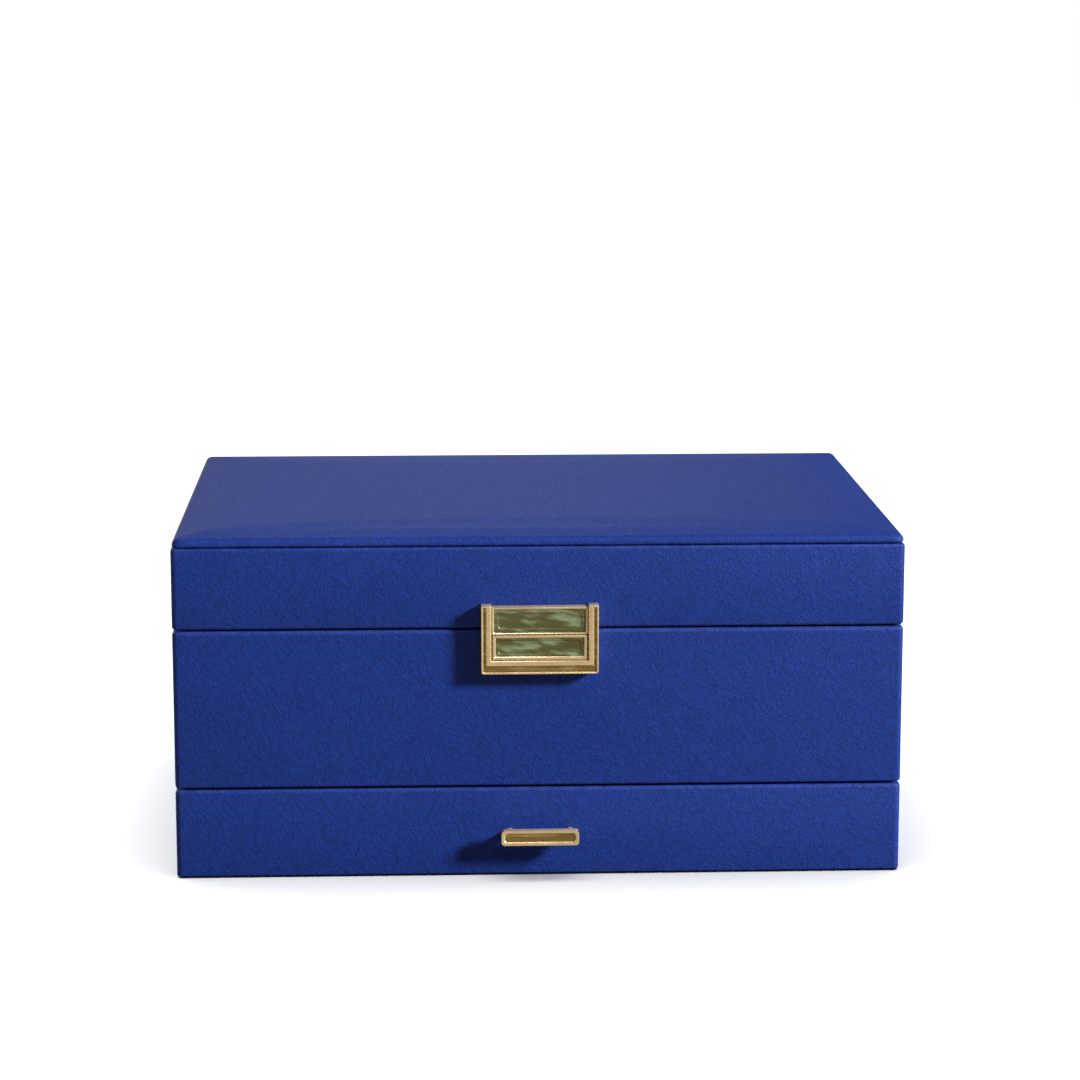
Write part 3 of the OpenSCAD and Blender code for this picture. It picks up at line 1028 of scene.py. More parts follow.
@dataclass(frozen=True)
class WrapPaper:
    """Navy bookbinder's paper over board, with a fine laid texture."""

    name: str = "navy_paper"

    def build(self) -> bpy.types.Material:
        """Builds the material."""
        paint = Paint(self.name)
        g = paint.graph
        fibres = g.noise(paint.place, 1400.0, 4.0)
        patches = paint.effect(Effects.mottle(), Scale=40.0, Contrast=0.3).outputs["Mask"]
        tone = g.math("ADD", g.math("MULTIPLY", fibres, 0.5), g.math("MULTIPLY", patches, 0.4))
        paint.set(
            Base_Color=g.blend(tone, rgb(16, 24, 56), rgb(34, 46, 92)),
            Roughness=g.spread(fibres, 0.3, 0.7, 0.62, 0.8),
        )
        paint.bump(fibres, 0.5, 0.08 * MM)
        return paint.material


@dataclass(frozen=True)
class Felt:
    """Pressed felt with loose fibres."""

    name: str = "base_felt"

    def build(self) -> bpy.types.Material:
        """Builds the material."""
        paint = Paint(self.name)
        g = paint.graph
        wool = g.noise(paint.place, 700.0, 6.0)
        paint.set(
            Base_Color=g.blend(g.spread(wool, 0.3, 0.7), rgb(22, 34, 88), rgb(38, 54, 122)),
            Roughness=0.95,
            Sheen_Weight=0.3,
        )
        paint.bump(wool, 0.8, 0.3 * MM)
        return paint.material


@dataclass(frozen=True)
class Foam:
    """Cream padding foam with open cells."""

    name: str = "padding_foam"

    def build(self) -> bpy.types.Material:
        """Builds the material."""
        paint = Paint(self.name)
        g = paint.graph
        pores = g.add("TexVoronoi")
        g.join(paint.place, pores.inputs["Vector"])
        pores.inputs["Scale"].default_value = 900.0
        paint.set(
            Base_Color=g.blend(pores.outputs["Distance"], rgb(226, 214, 172), rgb(196, 182, 140)),
            Roughness=0.9,
        )
        paint.bump(pores.outputs["Distance"], 0.6, 0.3 * MM)
        return paint.material


@dataclass(frozen=True)
class MirrorGlass:
    """Silvered glass with the faintest smears."""

    name: str = "mirror_glass"

    def build(self) -> bpy.types.Material:
        """Builds the material."""
        paint = Paint(self.name)
        g = paint.graph
        smears = paint.effect(Effects.mottle(), Scale=22.0, Contrast=0.3).outputs["Mask"]
        paint.set(
            Base_Color=g.blend(smears, rgb(222, 230, 232), rgb(234, 240, 242)),
            Metallic=1.0,
            Roughness=g.spread(smears, 0.0, 1.0, 0.015, 0.05),
        )
        return paint.material


class Finishes:
    """Every finish on the case, built once."""

    def __init__(self) -> None:
        """Builds the materials."""
        lid_low, lid_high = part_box("lid_frame_cover")
        case_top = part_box("case_cover")[1].z
        drawer_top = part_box("drawer_front_cover")[1].z
        self.case_leather = Leather("case_leather", (case_top,)).build()
        self.lid_leather = Leather("lid_leather", (lid_low.z, lid_high.z)).build()
        self.drawer_leather = Leather("drawer_leather", (drawer_top,)).build()
        self.velvet = Velvet("dove_velvet", (120, 116, 112), (176, 171, 164)).build()
        self.drawer_velvet = Velvet("drawer_velvet", (114, 110, 107), (168, 163, 157)).build()
        self.gold = Metal(
            "pale_gold", (240, 208, 152), (250, 230, 190), (0.18, 0.32), 0.62
        ).build()
        self.steel = Metal("bright_steel", (176, 178, 182), (206, 208, 212), (0.24, 0.4)).build()
        # Painted reflections: olive with pale streaks for the latch's panels, gold streaks for the
        # frame's band and the pull's panel
        self.reflection_olive = PaintedReflectionPanel("olive_painted_reflection", (92, 92, 50), (158, 174, 134)).build()
        self.gold_painted_reflection = PaintedReflectionPanel(
            "gold_painted_reflection", (156, 128, 62), (206, 182, 126), 0.0, (60.0, 200.0, 500.0), 0.7
        ).build()
        self.paper = WrapPaper().build()
        self.felt = Felt().build()
        self.foam = Foam().build()
        self.mirror = MirrorGlass().build()
        log.info("finishes built")


# ---- Leather shells ----


def near(value: float, target: float, room: float = 0.02 * MM) -> bool:
    """Tells whether two lengths agree within a small room."""
    return abs(value - target) < room


def sunken(face: float) -> FaceTest:
    """Makes a test for front faces that lie a little behind a piece's face.

    Args:
        face: Y of the piece's face.

    Returns:
        The test.
    """
    return lambda c, n: n.y < -0.7 and face + 0.3 * MM < c.y < face + MM


@dataclass
class LeatherShells:
    """The leather over the lid's walls, the case and the drawer front."""

    finishes: Finishes
    skin: float = 0.8 * MM
    board: float = 5.0 * MM
    # Roundings: upright corners, seams, the drawer's foot, the groove and the drawer's opening
    corner: float = 2.0 * MM
    rim: float = 1.2 * MM
    hem: float = 0.7 * MM
    groove: float = 0.9 * MM
    fold: float = 0.95 * MM
    # Rounding of the drawer leather's rear edge, and the thickness of its sheet
    rear_edge: float = 0.6 * MM
    thin_skin: float = 0.5 * MM
    # Width turned in over the lid's groove
    top_turn: float = 12.0 * MM
    # Depth of the windows for the hinge leaves, and room beside the latch and the drawer
    leaf_depth: float = 1.3 * MM
    margin: float = 0.4 * MM
    low: Vector = field(default_factory=lambda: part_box("case_cover")[0])
    high: Vector = field(default_factory=lambda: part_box("case_cover")[1])

    def upright(self, a: Vector, b: Vector) -> bool:
        """Tells whether an edge is one of a block's four outer upright edges."""
        on_x = near(abs(a.x), self.high.x) and near(abs(b.x), self.high.x)
        on_y = near(abs(a.y), self.high.y) and near(abs(b.y), self.high.y)
        return on_x and on_y and abs(a.z - b.z) > 5 * MM

    def on_outline(self, point: Vector) -> bool:
        """Tells whether a point is on the outer outline seen from above."""
        over_x = max(abs(point.x) - self.high.x + self.corner, 0.0)
        over_y = max(abs(point.y) - self.high.y + self.corner, 0.0)
        return near(math.hypot(over_x, over_y), self.corner, 0.05 * MM)

    def outline(self, a: Vector, b: Vector, level: float) -> bool:
        """Tells whether an edge lies on the outer outline at a level."""
        level_with = near(a.z, level) and near(b.z, level)
        return level_with and all(self.on_outline(p) for p in (a, b, (a + b) / 2))

    def turned_in(
        self, name: str, bottom: float, top: float, under: float, over: float
    ) -> bpy.types.Object:
        """Makes a ring of leather turned in at its lower and upper edges.

        Args:
            name: The piece's name.
            bottom: Lowest level.
            top: Highest level.
            under: Width turned in below, or 0 for an open edge.
            over: Width turned in above, or 0 for an open edge.

        Returns:
            The open sheet.
        """
        piece = Bench.block(name, (self.low.x, self.low.y, bottom), (self.high.x, self.high.y, top))
        with Bench.edit(piece):
            for sign, level, width in ((1, top, over), (-1, bottom, under)):
                Bench.faces(lambda c, n: n.z * sign > ALONG)
                if width:
                    bpy.ops.mesh.inset(thickness=width, depth=0.0)
                bpy.ops.mesh.delete(type="FACE")
            Bench.edges(lambda m, a, b: self.upright(a, b))
            Bench.round_off(self.corner, 6)
        return piece

    def hinge_windows(self, level: float, up: bool) -> None:
        """Cuts the room for the hinge leaves out of the rim of the sheet in edit mode.

        Args:
            level: The rim's level.
            up: True where the leaves lie above the rim's level.
        """
        for side in ("left", "right"):
            node = f"{side}_hinge_{'lid' if up else 'case'}_leaf"
            low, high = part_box(node)
            below, above = (MM, self.leaf_depth) if up else (self.leaf_depth, MM)
            floor, roof = level - below, level + above

            def inside(c: Vector, n: Vector) -> bool:
                return low.x < c.x < high.x and c.y > low.y and floor < c.z < roof

            def rear(c: Vector, n: Vector) -> bool:
                return c.y > low.y - 8 * MM and n.y > -0.5

            edge = roof if up else floor
            cuts = [(Axis.X, low.x), (Axis.X, high.x), (Axis.Y, low.y), (Axis.Z, edge)]
            Bench.window(rear, cuts, inside)

    def lid(self) -> bpy.types.Object:
        """Leather around the lid's walls, below the groove."""
        low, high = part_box("lid_frame_cover")
        piece = self.turned_in("lid_leather", low.z, high.z, self.skin + self.board, self.top_turn)
        with Bench.edit(piece):
            Bench.edges(lambda m, a, b: self.outline(a, b, low.z))
            Bench.round_off(self.rim, 4)
            Bench.edges(lambda m, a, b: self.outline(a, b, high.z))
            Bench.round_off(self.groove, 4)
            self.hinge_windows(low.z, True)
        Bench.wall(piece, self.skin)
        Bench.smooth(piece, 40)
        return hand_over(
            piece, Body.LID, Slot.LEATHER, [self.finishes.lid_leather], "lid_frame_cover"
        )

    def case(self) -> bpy.types.Object:
        """Leather around the case, open at the front for the drawer and the latch."""
        top = self.high.z
        piece = self.turned_in("case_leather", self.low.z, top, 0.0, self.skin + self.board)
        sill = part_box("compartment_floor")[0].z - self.margin
        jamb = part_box("drawer_front_cover")[1].y + self.margin
        yoke_low, yoke_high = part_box("latch_yoke")
        with Bench.edit(piece):
            Bench.edges(lambda m, a, b: self.outline(a, b, top))
            Bench.round_off(self.rim, 4)
            self.hinge_windows(top, False)
            Bench.window(
                lambda c, n: True,
                [(Axis.Z, sill), (Axis.Y, jamb)],
                lambda c, n: c.z < sill and c.y < jamb,
            )
            self.turn_in_opening(sill, jamb)
            left, right = yoke_low.x - self.margin, yoke_high.x + self.margin
            floor, roof = yoke_low.z - self.margin - MM, yoke_high.z + self.margin

            def front(c: Vector, n: Vector) -> bool:
                return n.y < -ALONG and c.z > sill

            Bench.window(
                front,
                [(Axis.X, left), (Axis.X, right), (Axis.Z, floor), (Axis.Z, roof)],
                lambda c, n: front(c, n) and left < c.x < right and floor < c.z < roof,
            )
        Bench.wall(piece, self.skin)
        Bench.smooth(piece, 40)
        return hand_over(
            piece, Body.CASE, Slot.LEATHER, [self.finishes.case_leather], "case_cover"
        )

    def turn_in_opening(self, sill: float, jamb: float) -> None:
        """Turns the leather in around the drawer's opening of the sheet in edit mode.

        Args:
            sill: Level of the leather's edge above the drawer.
            jamb: Y of the leather's edges beside the drawer.
        """
        inner_x = self.high.x - self.skin - self.board
        inner_y = self.high.y - self.skin - self.board
        Bench.edges(lambda m, a, b: self.outline(a, b, sill) and m.y < jamb)
        bpy.ops.mesh.extrude_region_move()
        Bench.place(
            lambda co: (math.copysign(min(abs(co.x), inner_x), co.x), max(co.y, -inner_y), co.z)
        )
        Bench.edges(lambda m, a, b: near(a.y, jamb) and near(b.y, jamb) and m.z < sill)
        bpy.ops.mesh.extrude_region_move()
        Bench.place(lambda co: (math.copysign(inner_x, co.x), co.y, co.z))
        Bench.weld()

        def fold(m: Vector, a: Vector, b: Vector) -> bool:
            over = self.outline(a, b, sill) and m.y < jamb
            beside = near(a.y, jamb) and near(b.y, jamb) and near(abs(m.x), self.high.x)
            return over or (beside and m.z < sill)

        Bench.edges(fold)
        Bench.round_off(self.fold, 4)

    def drawer(self) -> bpy.types.Object:
        """Leather over the drawer front, turned in behind it around the drawer box."""
        low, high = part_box("drawer_front_cover")
        piece = Bench.block("drawer_leather", tuple(low), tuple(high))
        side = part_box("drawer_right_side")[1].x + 0.5 * MM
        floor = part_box("drawer_floor")[0].z - 0.3 * MM
        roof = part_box("drawer_right_side")[1].z + 0.3 * MM
        with Bench.edit(piece):
            Bench.edges(lambda m, a, b: near(m.y, low.y) and near(abs(m.x), high.x))
            Bench.round_off(self.corner, 6)
            for level, width in ((low.z, self.hem), (high.z, self.rim)):
                Bench.edges(lambda m, a, b: self.outline(a, b, level))
                Bench.round_off(width, 4)
            Bench.edges(lambda m, a, b: near(a.y, high.y) and near(b.y, high.y))
            Bench.round_off(self.rear_edge, 3)
            Bench.weld()

            def rear(c: Vector, n: Vector) -> bool:
                return n.y > ALONG

            Bench.window(
                rear,
                [(Axis.X, -side), (Axis.X, side), (Axis.Z, floor), (Axis.Z, roof)],
                lambda c, n: rear(c, n) and abs(c.x) < side and floor < c.z < roof,
            )
        Bench.wall(piece, self.thin_skin)
        Bench.smooth(piece, 40)
        return hand_over(
            piece, Body.DRAWER, Slot.LEATHER, [self.finishes.drawer_leather], "drawer_front_cover"
        )

    def build(self) -> None:
        """Makes the three leather shells."""
        self.lid()
        self.case()
        self.drawer()


# ---- Soft pieces ----


class Pressure:
    """Cloth that is blown up from inside until it is stopped."""

    @staticmethod
    def swell(
        piece: bpy.types.Object,
        pressure: float,
        cap: float,
        pinned: Callable[[Vector], bool] | None = None,
        frames: int = 20,
    ) -> None:
        """Swells a mesh and caps how far each point moves.

        Args:
            piece: The closed or pinned mesh.
            pressure: The cloth's pressure.
            cap: The furthest that a point may move.
            pinned: Picks the points that stay, or None.
            frames: How many frames to run.
        """
        start = [v.co.copy() for v in piece.data.vertices]
        cloth = piece.modifiers.new("Cloth", "CLOTH")
        settings = cloth.settings
        settings.use_pressure = True
        settings.uniform_pressure_force = pressure
        settings.effector_weights.gravity = 0.0
        settings.quality = 6
        settings.tension_stiffness = 25.0
        settings.bending_stiffness = 3.0
        if pinned is not None:
            group = piece.vertex_groups.new(name="held")
            group.add([v.index for v in piece.data.vertices if pinned(v.co)], 1.0, "REPLACE")
            settings.vertex_group_mass = "held"
        scene = bpy.context.scene
        cloth.point_cache.frame_end = frames
        for number in range(1, frames + 1):
            scene.frame_set(number)
        shaped = piece.evaluated_get(bpy.context.evaluated_depsgraph_get()).data
        ends = [v.co.copy() for v in shaped.vertices]
        piece.modifiers.remove(cloth)
        for vertex, old, new in zip(piece.data.vertices, start, ends):
            move = new - old
            if move.length > cap:
                move.length = cap
            vertex.co = old + move
        scene.frame_set(1)


@dataclass
class TopPanel:
    """The padded leather panel on the lid."""

    finishes: Finishes
    edge: float = 2.2 * MM
    corner: float = 2.4 * MM
    shoulder: float = 14.0 * MM
    wall_top: float = 1.3 * MM
    # Shares of the rise that the crown takes as a quarter wave and as a straight slope
    crown: Pair = (0.86, 0.1)
    cells: tuple[int, int] = (112, 82)
    # Inset and level of each fold of the border below the panel's edge
    tuck: tuple[Pair, ...] = (
        (0.0, 0.9 * MM), (0.35 * MM, 0.45 * MM), (1.2 * MM, 0.12 * MM), (3.0 * MM, 0.0),
    )
    # The cloth's pressure, how far it may move, and the width beside the edge that is held
    pressure: float = 1.5
    swell: float = 0.25 * MM
    held: float = 0.5 * MM

    def sheet(self) -> bpy.types.Object:
        """Lays the sheet that covers the foam, crowned inside its shoulders."""
        low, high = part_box("top_panel_cover")
        size = high - low
        rise = size.z - self.wall_top - self.edge
        flat = (size.x - 2 * self.edge, size.y - 2 * self.edge, 1.0)
        Bench.clear()
        bpy.ops.mesh.primitive_grid_add(
            x_subdivisions=self.cells[0], y_subdivisions=self.cells[1], size=1.0,
            location=(0, 0, low.z + self.wall_top + self.edge),
        )
        bpy.ops.transform.resize(value=flat)
        piece = Bench.name_it("top_panel_leather")
        for vertex in piece.data.vertices:
            inset = min(flat[0] / 2 - abs(vertex.co.x), flat[1] / 2 - abs(vertex.co.y))
            share = min(max(inset / self.shoulder, 0.0), 1.0)
            wave, slope = self.crown
            vertex.co.z += rise * (wave * math.sin(share * math.pi / 2) + slope * share)
        return piece

    def fold_down(self, piece: bpy.types.Object) -> None:
        """Carries the sheet's border round the edge, down and in under the panel.

        Args:
            piece: The crowned sheet.
        """
        low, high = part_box("top_panel_cover")
        half = (high - low) / 2
        rounds = tuple(
            (self.edge * (1 - math.sin(a)), self.wall_top + self.edge * math.cos(a))
            for a in (math.pi * step / 10 for step in range(1, 6))
        )
        with Bench.edit(piece):
            bpy.ops.mesh.select_mode(type="EDGE")
            bpy.ops.mesh.select_all(action="SELECT")
            bpy.ops.mesh.region_to_loop()
            inset_before, level_before = self.edge, self.wall_top + self.edge
            for inset, level in rounds + self.tuck:
                bpy.ops.mesh.extrude_region_move(
                    TRANSFORM_OT_translate={"value": (0, 0, level - level_before)}
                )
                grow = (
                    (half.x - inset) / (half.x - inset_before),
                    (half.y - inset) / (half.y - inset_before),
                    1.0,
                )
                bpy.ops.transform.resize(value=grow, center_override=(0, 0, 0))
                inset_before, level_before = inset, level
            bpy.ops.mesh.edge_face_add()
        reach = Vector((half.x - self.corner, half.y - self.corner))
        for vertex in piece.data.vertices:
            u, v = abs(vertex.co.x) - reach.x, abs(vertex.co.y) - reach.y
            if u > 0 and v > 0:
                share = max(u, v) / math.hypot(u, v)
                vertex.co.x = math.copysign(reach.x + u * share, vertex.co.x)
                vertex.co.y = math.copysign(reach.y + v * share, vertex.co.y)

    def build(self) -> bpy.types.Object:
        """Makes the panel and lets its leather swell over the foam."""
        piece = self.sheet()
        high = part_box("top_panel_cover")[1]
        free_x = high.x - self.edge - self.held
        free_y = high.y - self.edge - self.held
        Pressure.swell(
            piece, self.pressure, self.swell,
            lambda co: abs(co.x) > free_x or abs(co.y) > free_y,
        )
        self.fold_down(piece)
        Bench.smooth(piece, 60)
        hand_over(piece, Body.LID, Slot.LEATHER, [self.finishes.lid_leather], "top_panel_cover")
        return piece


@dataclass
class Cushions:
    """The ring rolls and the bracelet pillow."""

    finishes: Finishes
    # Cell of the first mesh, and how far it starts inside the frame's shape
    roll_cell: float = 3.0 * MM
    roll_pull: float = 0.8 * MM
    pillow_cell: float = 3.4 * MM
    pillow_pull: float = 2.2 * MM
    pressure: float = 4.0
    swell: float = 0.9 * MM
    # Height of the foot that stays on the floor
    foot: float = 1.5 * MM
    # Shares by which the pillow's sides are drawn in and its borders pressed down
    pinch: Pair = (0.06, 0.03)
    sink: float = 0.35

    def pad(self, name: str, node: str, cell: float, pull: float) -> bpy.types.Object:
        """Makes a padded form from a frame node's shape.

        Args:
            name: The piece's name.
            node: The frame node whose shape it fills.
            cell: The remesh's cell.
            pull: How far the form starts inside the node.

        Returns:
            The swollen form.
        """
        piece = Bench.raw_copy(node, name)
        with Bench.edit(piece):
            Bench.weld()
            bpy.ops.mesh.normals_make_consistent(inside=False)
        Bench.take(piece)
        bpy.ops.mesh.customdata_custom_splitnormals_clear()
        Bench.modify(piece, "REMESH", mode="VOXEL", voxel_size=cell)
        Bench.modify(piece, "SMOOTH", factor=0.5, iterations=6)
        low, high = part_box(node)
        foot = Vector(((low.x + high.x) / 2, (low.y + high.y) / 2, low.z))
        for vertex in piece.data.vertices:
            for axis in Axis:
                reach = high[axis] - foot[axis]
                offset = vertex.co[axis] - foot[axis]
                vertex.co[axis] = foot[axis] + offset * (reach - pull) / reach
        base = low.z + self.foot
        Pressure.swell(piece, self.pressure, self.swell, lambda co: co.z < base)
        for vertex in piece.data.vertices:
            for axis in Axis:
                vertex.co[axis] = min(max(vertex.co[axis], low[axis]), high[axis])
        Bench.modify(piece, "SUBSURF", levels=1, render_levels=1)
        Bench.smooth(piece, 80)
        return piece

    def rolls(self) -> None:
        """Makes the six ring rolls: one is modelled, and the rest are its copies."""
        first = self.pad("ring_roll_pad_1", "ring_roll_1", self.roll_cell, self.roll_pull)
        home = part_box("ring_roll_1")[0].y
        pads = [first]
        for number in range(2, 7):
            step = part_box(f"ring_roll_{number}")[0].y - home
            pads.append(Bench.twin(first, f"ring_roll_pad_{number}", (0, step, 0)))
        for number, pad in enumerate(pads, start=1):
            hand_over(
                pad, Body.CASE, Slot.VELVET, [self.finishes.velvet], f"ring_roll_{number}"
            )

    def pillow(self) -> None:
        """Makes the bracelet pillow, drawn in at its corners."""
        pad = self.pad(
            "bracelet_pillow_pad", "bracelet_pillow", self.pillow_cell, self.pillow_pull
        )
        low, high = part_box("bracelet_pillow")
        middle = (low + high) / 2
        half = (high - low) / 2
        for vertex in pad.data.vertices:
            u = (vertex.co.x - middle.x) / half.x
            v = (vertex.co.y - middle.y) / half.y
            across, along = self.pinch
            narrow = 1 - across * (1 - u * u) * abs(v) - along * (1 - v * v) * abs(u)
            vertex.co.x = middle.x + (vertex.co.x - middle.x) * (narrow if abs(u) > 0.5 else 1)
            press = 1 - self.sink * max(abs(u) ** 6, abs(v) ** 6)
            vertex.co.z = low.z + (vertex.co.z - low.z) * press
        hand_over(pad, Body.CASE, Slot.VELVET, [self.finishes.velvet], "bracelet_pillow")

    def build(self) -> None:
        """Makes all the cushions."""
        self.rolls()
        self.pillow()


# ---- Linings, dividers and mirror ----


@dataclass
class Linings:
    """The velvet trays, the dividers and the mirror in its surround."""

    finishes: Finishes
    fold: float = 1.4 * MM
    thickness: float = 0.7 * MM
    # Rounding of the dividers' tops and of the surround
    padded_edge: float = 1.5 * MM
    # How far the surround laps over the mirror, and the mirror's ground border
    lap: float = 4.0 * MM
    border: float = 7.0 * MM
    ground: float = 0.5 * MM

    def tray(self, name: str, node: str, opens_up: bool) -> bpy.types.Object:
        """Makes an open box of velvet from a lining node's inner faces.

        Args:
            name: The piece's name.
            node: The lining node.
            opens_up: True for a tray, False for a hood.

        Returns:
            The lining.
        """
        low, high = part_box(node)
        wall = Vector((self.thickness, self.thickness, 0))
        inner_low, inner_high = low + wall, high - wall
        if opens_up:
            inner_low.z += self.thickness
        else:
            inner_high.z -= self.thickness
        sign = 1 if opens_up else -1
        closed = inner_low.z if opens_up else inner_high.z
        piece = Bench.block(name, tuple(inner_low), tuple(inner_high))
        with Bench.edit(piece):
            Bench.faces(lambda c, n: n.z * sign > ALONG)
            bpy.ops.mesh.delete(type="FACE")
            Bench.edges(lambda m, a, b: not near(a.z, b.z) or near(m.z, closed))
            Bench.round_off(self.fold, 3)
            bpy.ops.mesh.select_all(action="SELECT")
            bpy.ops.mesh.flip_normals()
        Bench.wall(piece, self.thickness)
        Bench.smooth(piece, 50)
        return piece

    def divider(self, node: str) -> None:
        """Makes velvet-covered dividers with round top edges from a node's blocks.

        Args:
            node: The divider node.
        """
        piece = Bench.copy_of(node, f"{node}_velvet", 0.0)
        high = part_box(node)[1].z
        with Bench.edit(piece):
            Bench.edges(lambda m, a, b: near(a.z, high, 0.05 * MM) and near(b.z, high, 0.05 * MM))
            Bench.round_off(self.padded_edge, 5)
        Bench.smooth(piece, 50)
        body = Body.DRAWER if node.startswith("drawer") else Body.CASE
        cloth = self.finishes.drawer_velvet if body is Body.DRAWER else self.finishes.velvet
        hand_over(piece, body, Slot.VELVET, [cloth], node)

    def surround(self) -> None:
        """Makes the padded frame around the mirror."""
        low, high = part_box("mirror_surround")
        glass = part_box("mirror_pane")
        hole = Vector((glass[1].x - self.lap, glass[1].y - self.lap))
        piece = Bench.block("mirror_surround_velvet", tuple(low), tuple(high))
        with Bench.edit(piece):
            for axis, place in (
                (Axis.X, -hole.x), (Axis.X, hole.x), (Axis.Y, -hole.y), (Axis.Y, hole.y),
            ):
                bpy.ops.mesh.select_all(action="SELECT")
                Bench.cut(axis, place)
            Bench.faces(lambda c, n: abs(n.z) > ALONG and abs(c.x) < hole.x and abs(c.y) < hole.y)
            bpy.ops.mesh.bridge_edge_loops()
        with Bench.edit(piece):
            bpy.ops.mesh.select_all(action="SELECT")
            bpy.ops.mesh.normals_make_consistent(inside=False)
            Bench.edges(
                lambda m, a, b: near(a.z, low.z) and near(b.z, low.z)
                and (near(abs(a.x), abs(b.x)) or near(abs(a.y), abs(b.y)))
                and self.on_border(m, hole, high)
            )
            Bench.round_off(self.padded_edge, 5)
        Bench.smooth(piece, 50)
        hand_over(piece, Body.LID, Slot.VELVET, [self.finishes.velvet], "mirror_surround")

    @staticmethod
    def on_border(point: Vector, hole: Vector, high: Vector) -> bool:
        """Tells whether a point lies on the surround's inner or outer border."""
        inner = (near(abs(point.x), hole.x) and abs(point.y) < hole.y + MM * 0.1) or (
            near(abs(point.y), hole.y) and abs(point.x) < hole.x + MM * 0.1
        )
        outer = near(abs(point.x), high.x) or near(abs(point.y), high.y)
        return inner or outer

    def mirror(self) -> None:
        """Makes the mirror, with a fine ground edge."""
        low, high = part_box("mirror_pane")
        piece = Bench.block("mirror", tuple(low), tuple(high))
        with Bench.edit(piece):
            Bench.faces(lambda c, n: n.z < -ALONG)
            bpy.ops.mesh.inset(thickness=self.border, depth=0.0)
            Bench.edges(
                lambda m, a, b: near(a.z, low.z) and near(b.z, low.z)
                and (near(abs(m.x), high.x) or near(abs(m.y), high.y))
            )
            bpy.ops.transform.translate(value=(0, 0, self.ground))
        Bench.smooth(piece, 1)
        hand_over(piece, Body.LID, Slot.MIRROR, [self.finishes.mirror], "mirror_pane")

    def build(self) -> None:
        """Makes the linings, the dividers and the mirror."""
        velvet, drawer_velvet = self.finishes.velvet, self.finishes.drawer_velvet
        for name, node, opens_up, body, cloth in (
            ("compartment_velvet", "compartment_lining", True, Body.CASE, velvet),
            ("lid_velvet", "lid_lining", False, Body.LID, velvet),
            ("drawer_velvet_tray", "drawer_lining", True, Body.DRAWER, drawer_velvet),
        ):
            hand_over(self.tray(name, node, opens_up), body, Slot.VELVET, [cloth], node)
        for node in (
            "divider_main", "divider_cross", "divider_ring_end", "divider_rear",
            "front_dividers", "drawer_divider_long", "drawer_cross_dividers",
        ):
            self.divider(node)
        self.surround()
        self.mirror()


# ---- Metalwork ----


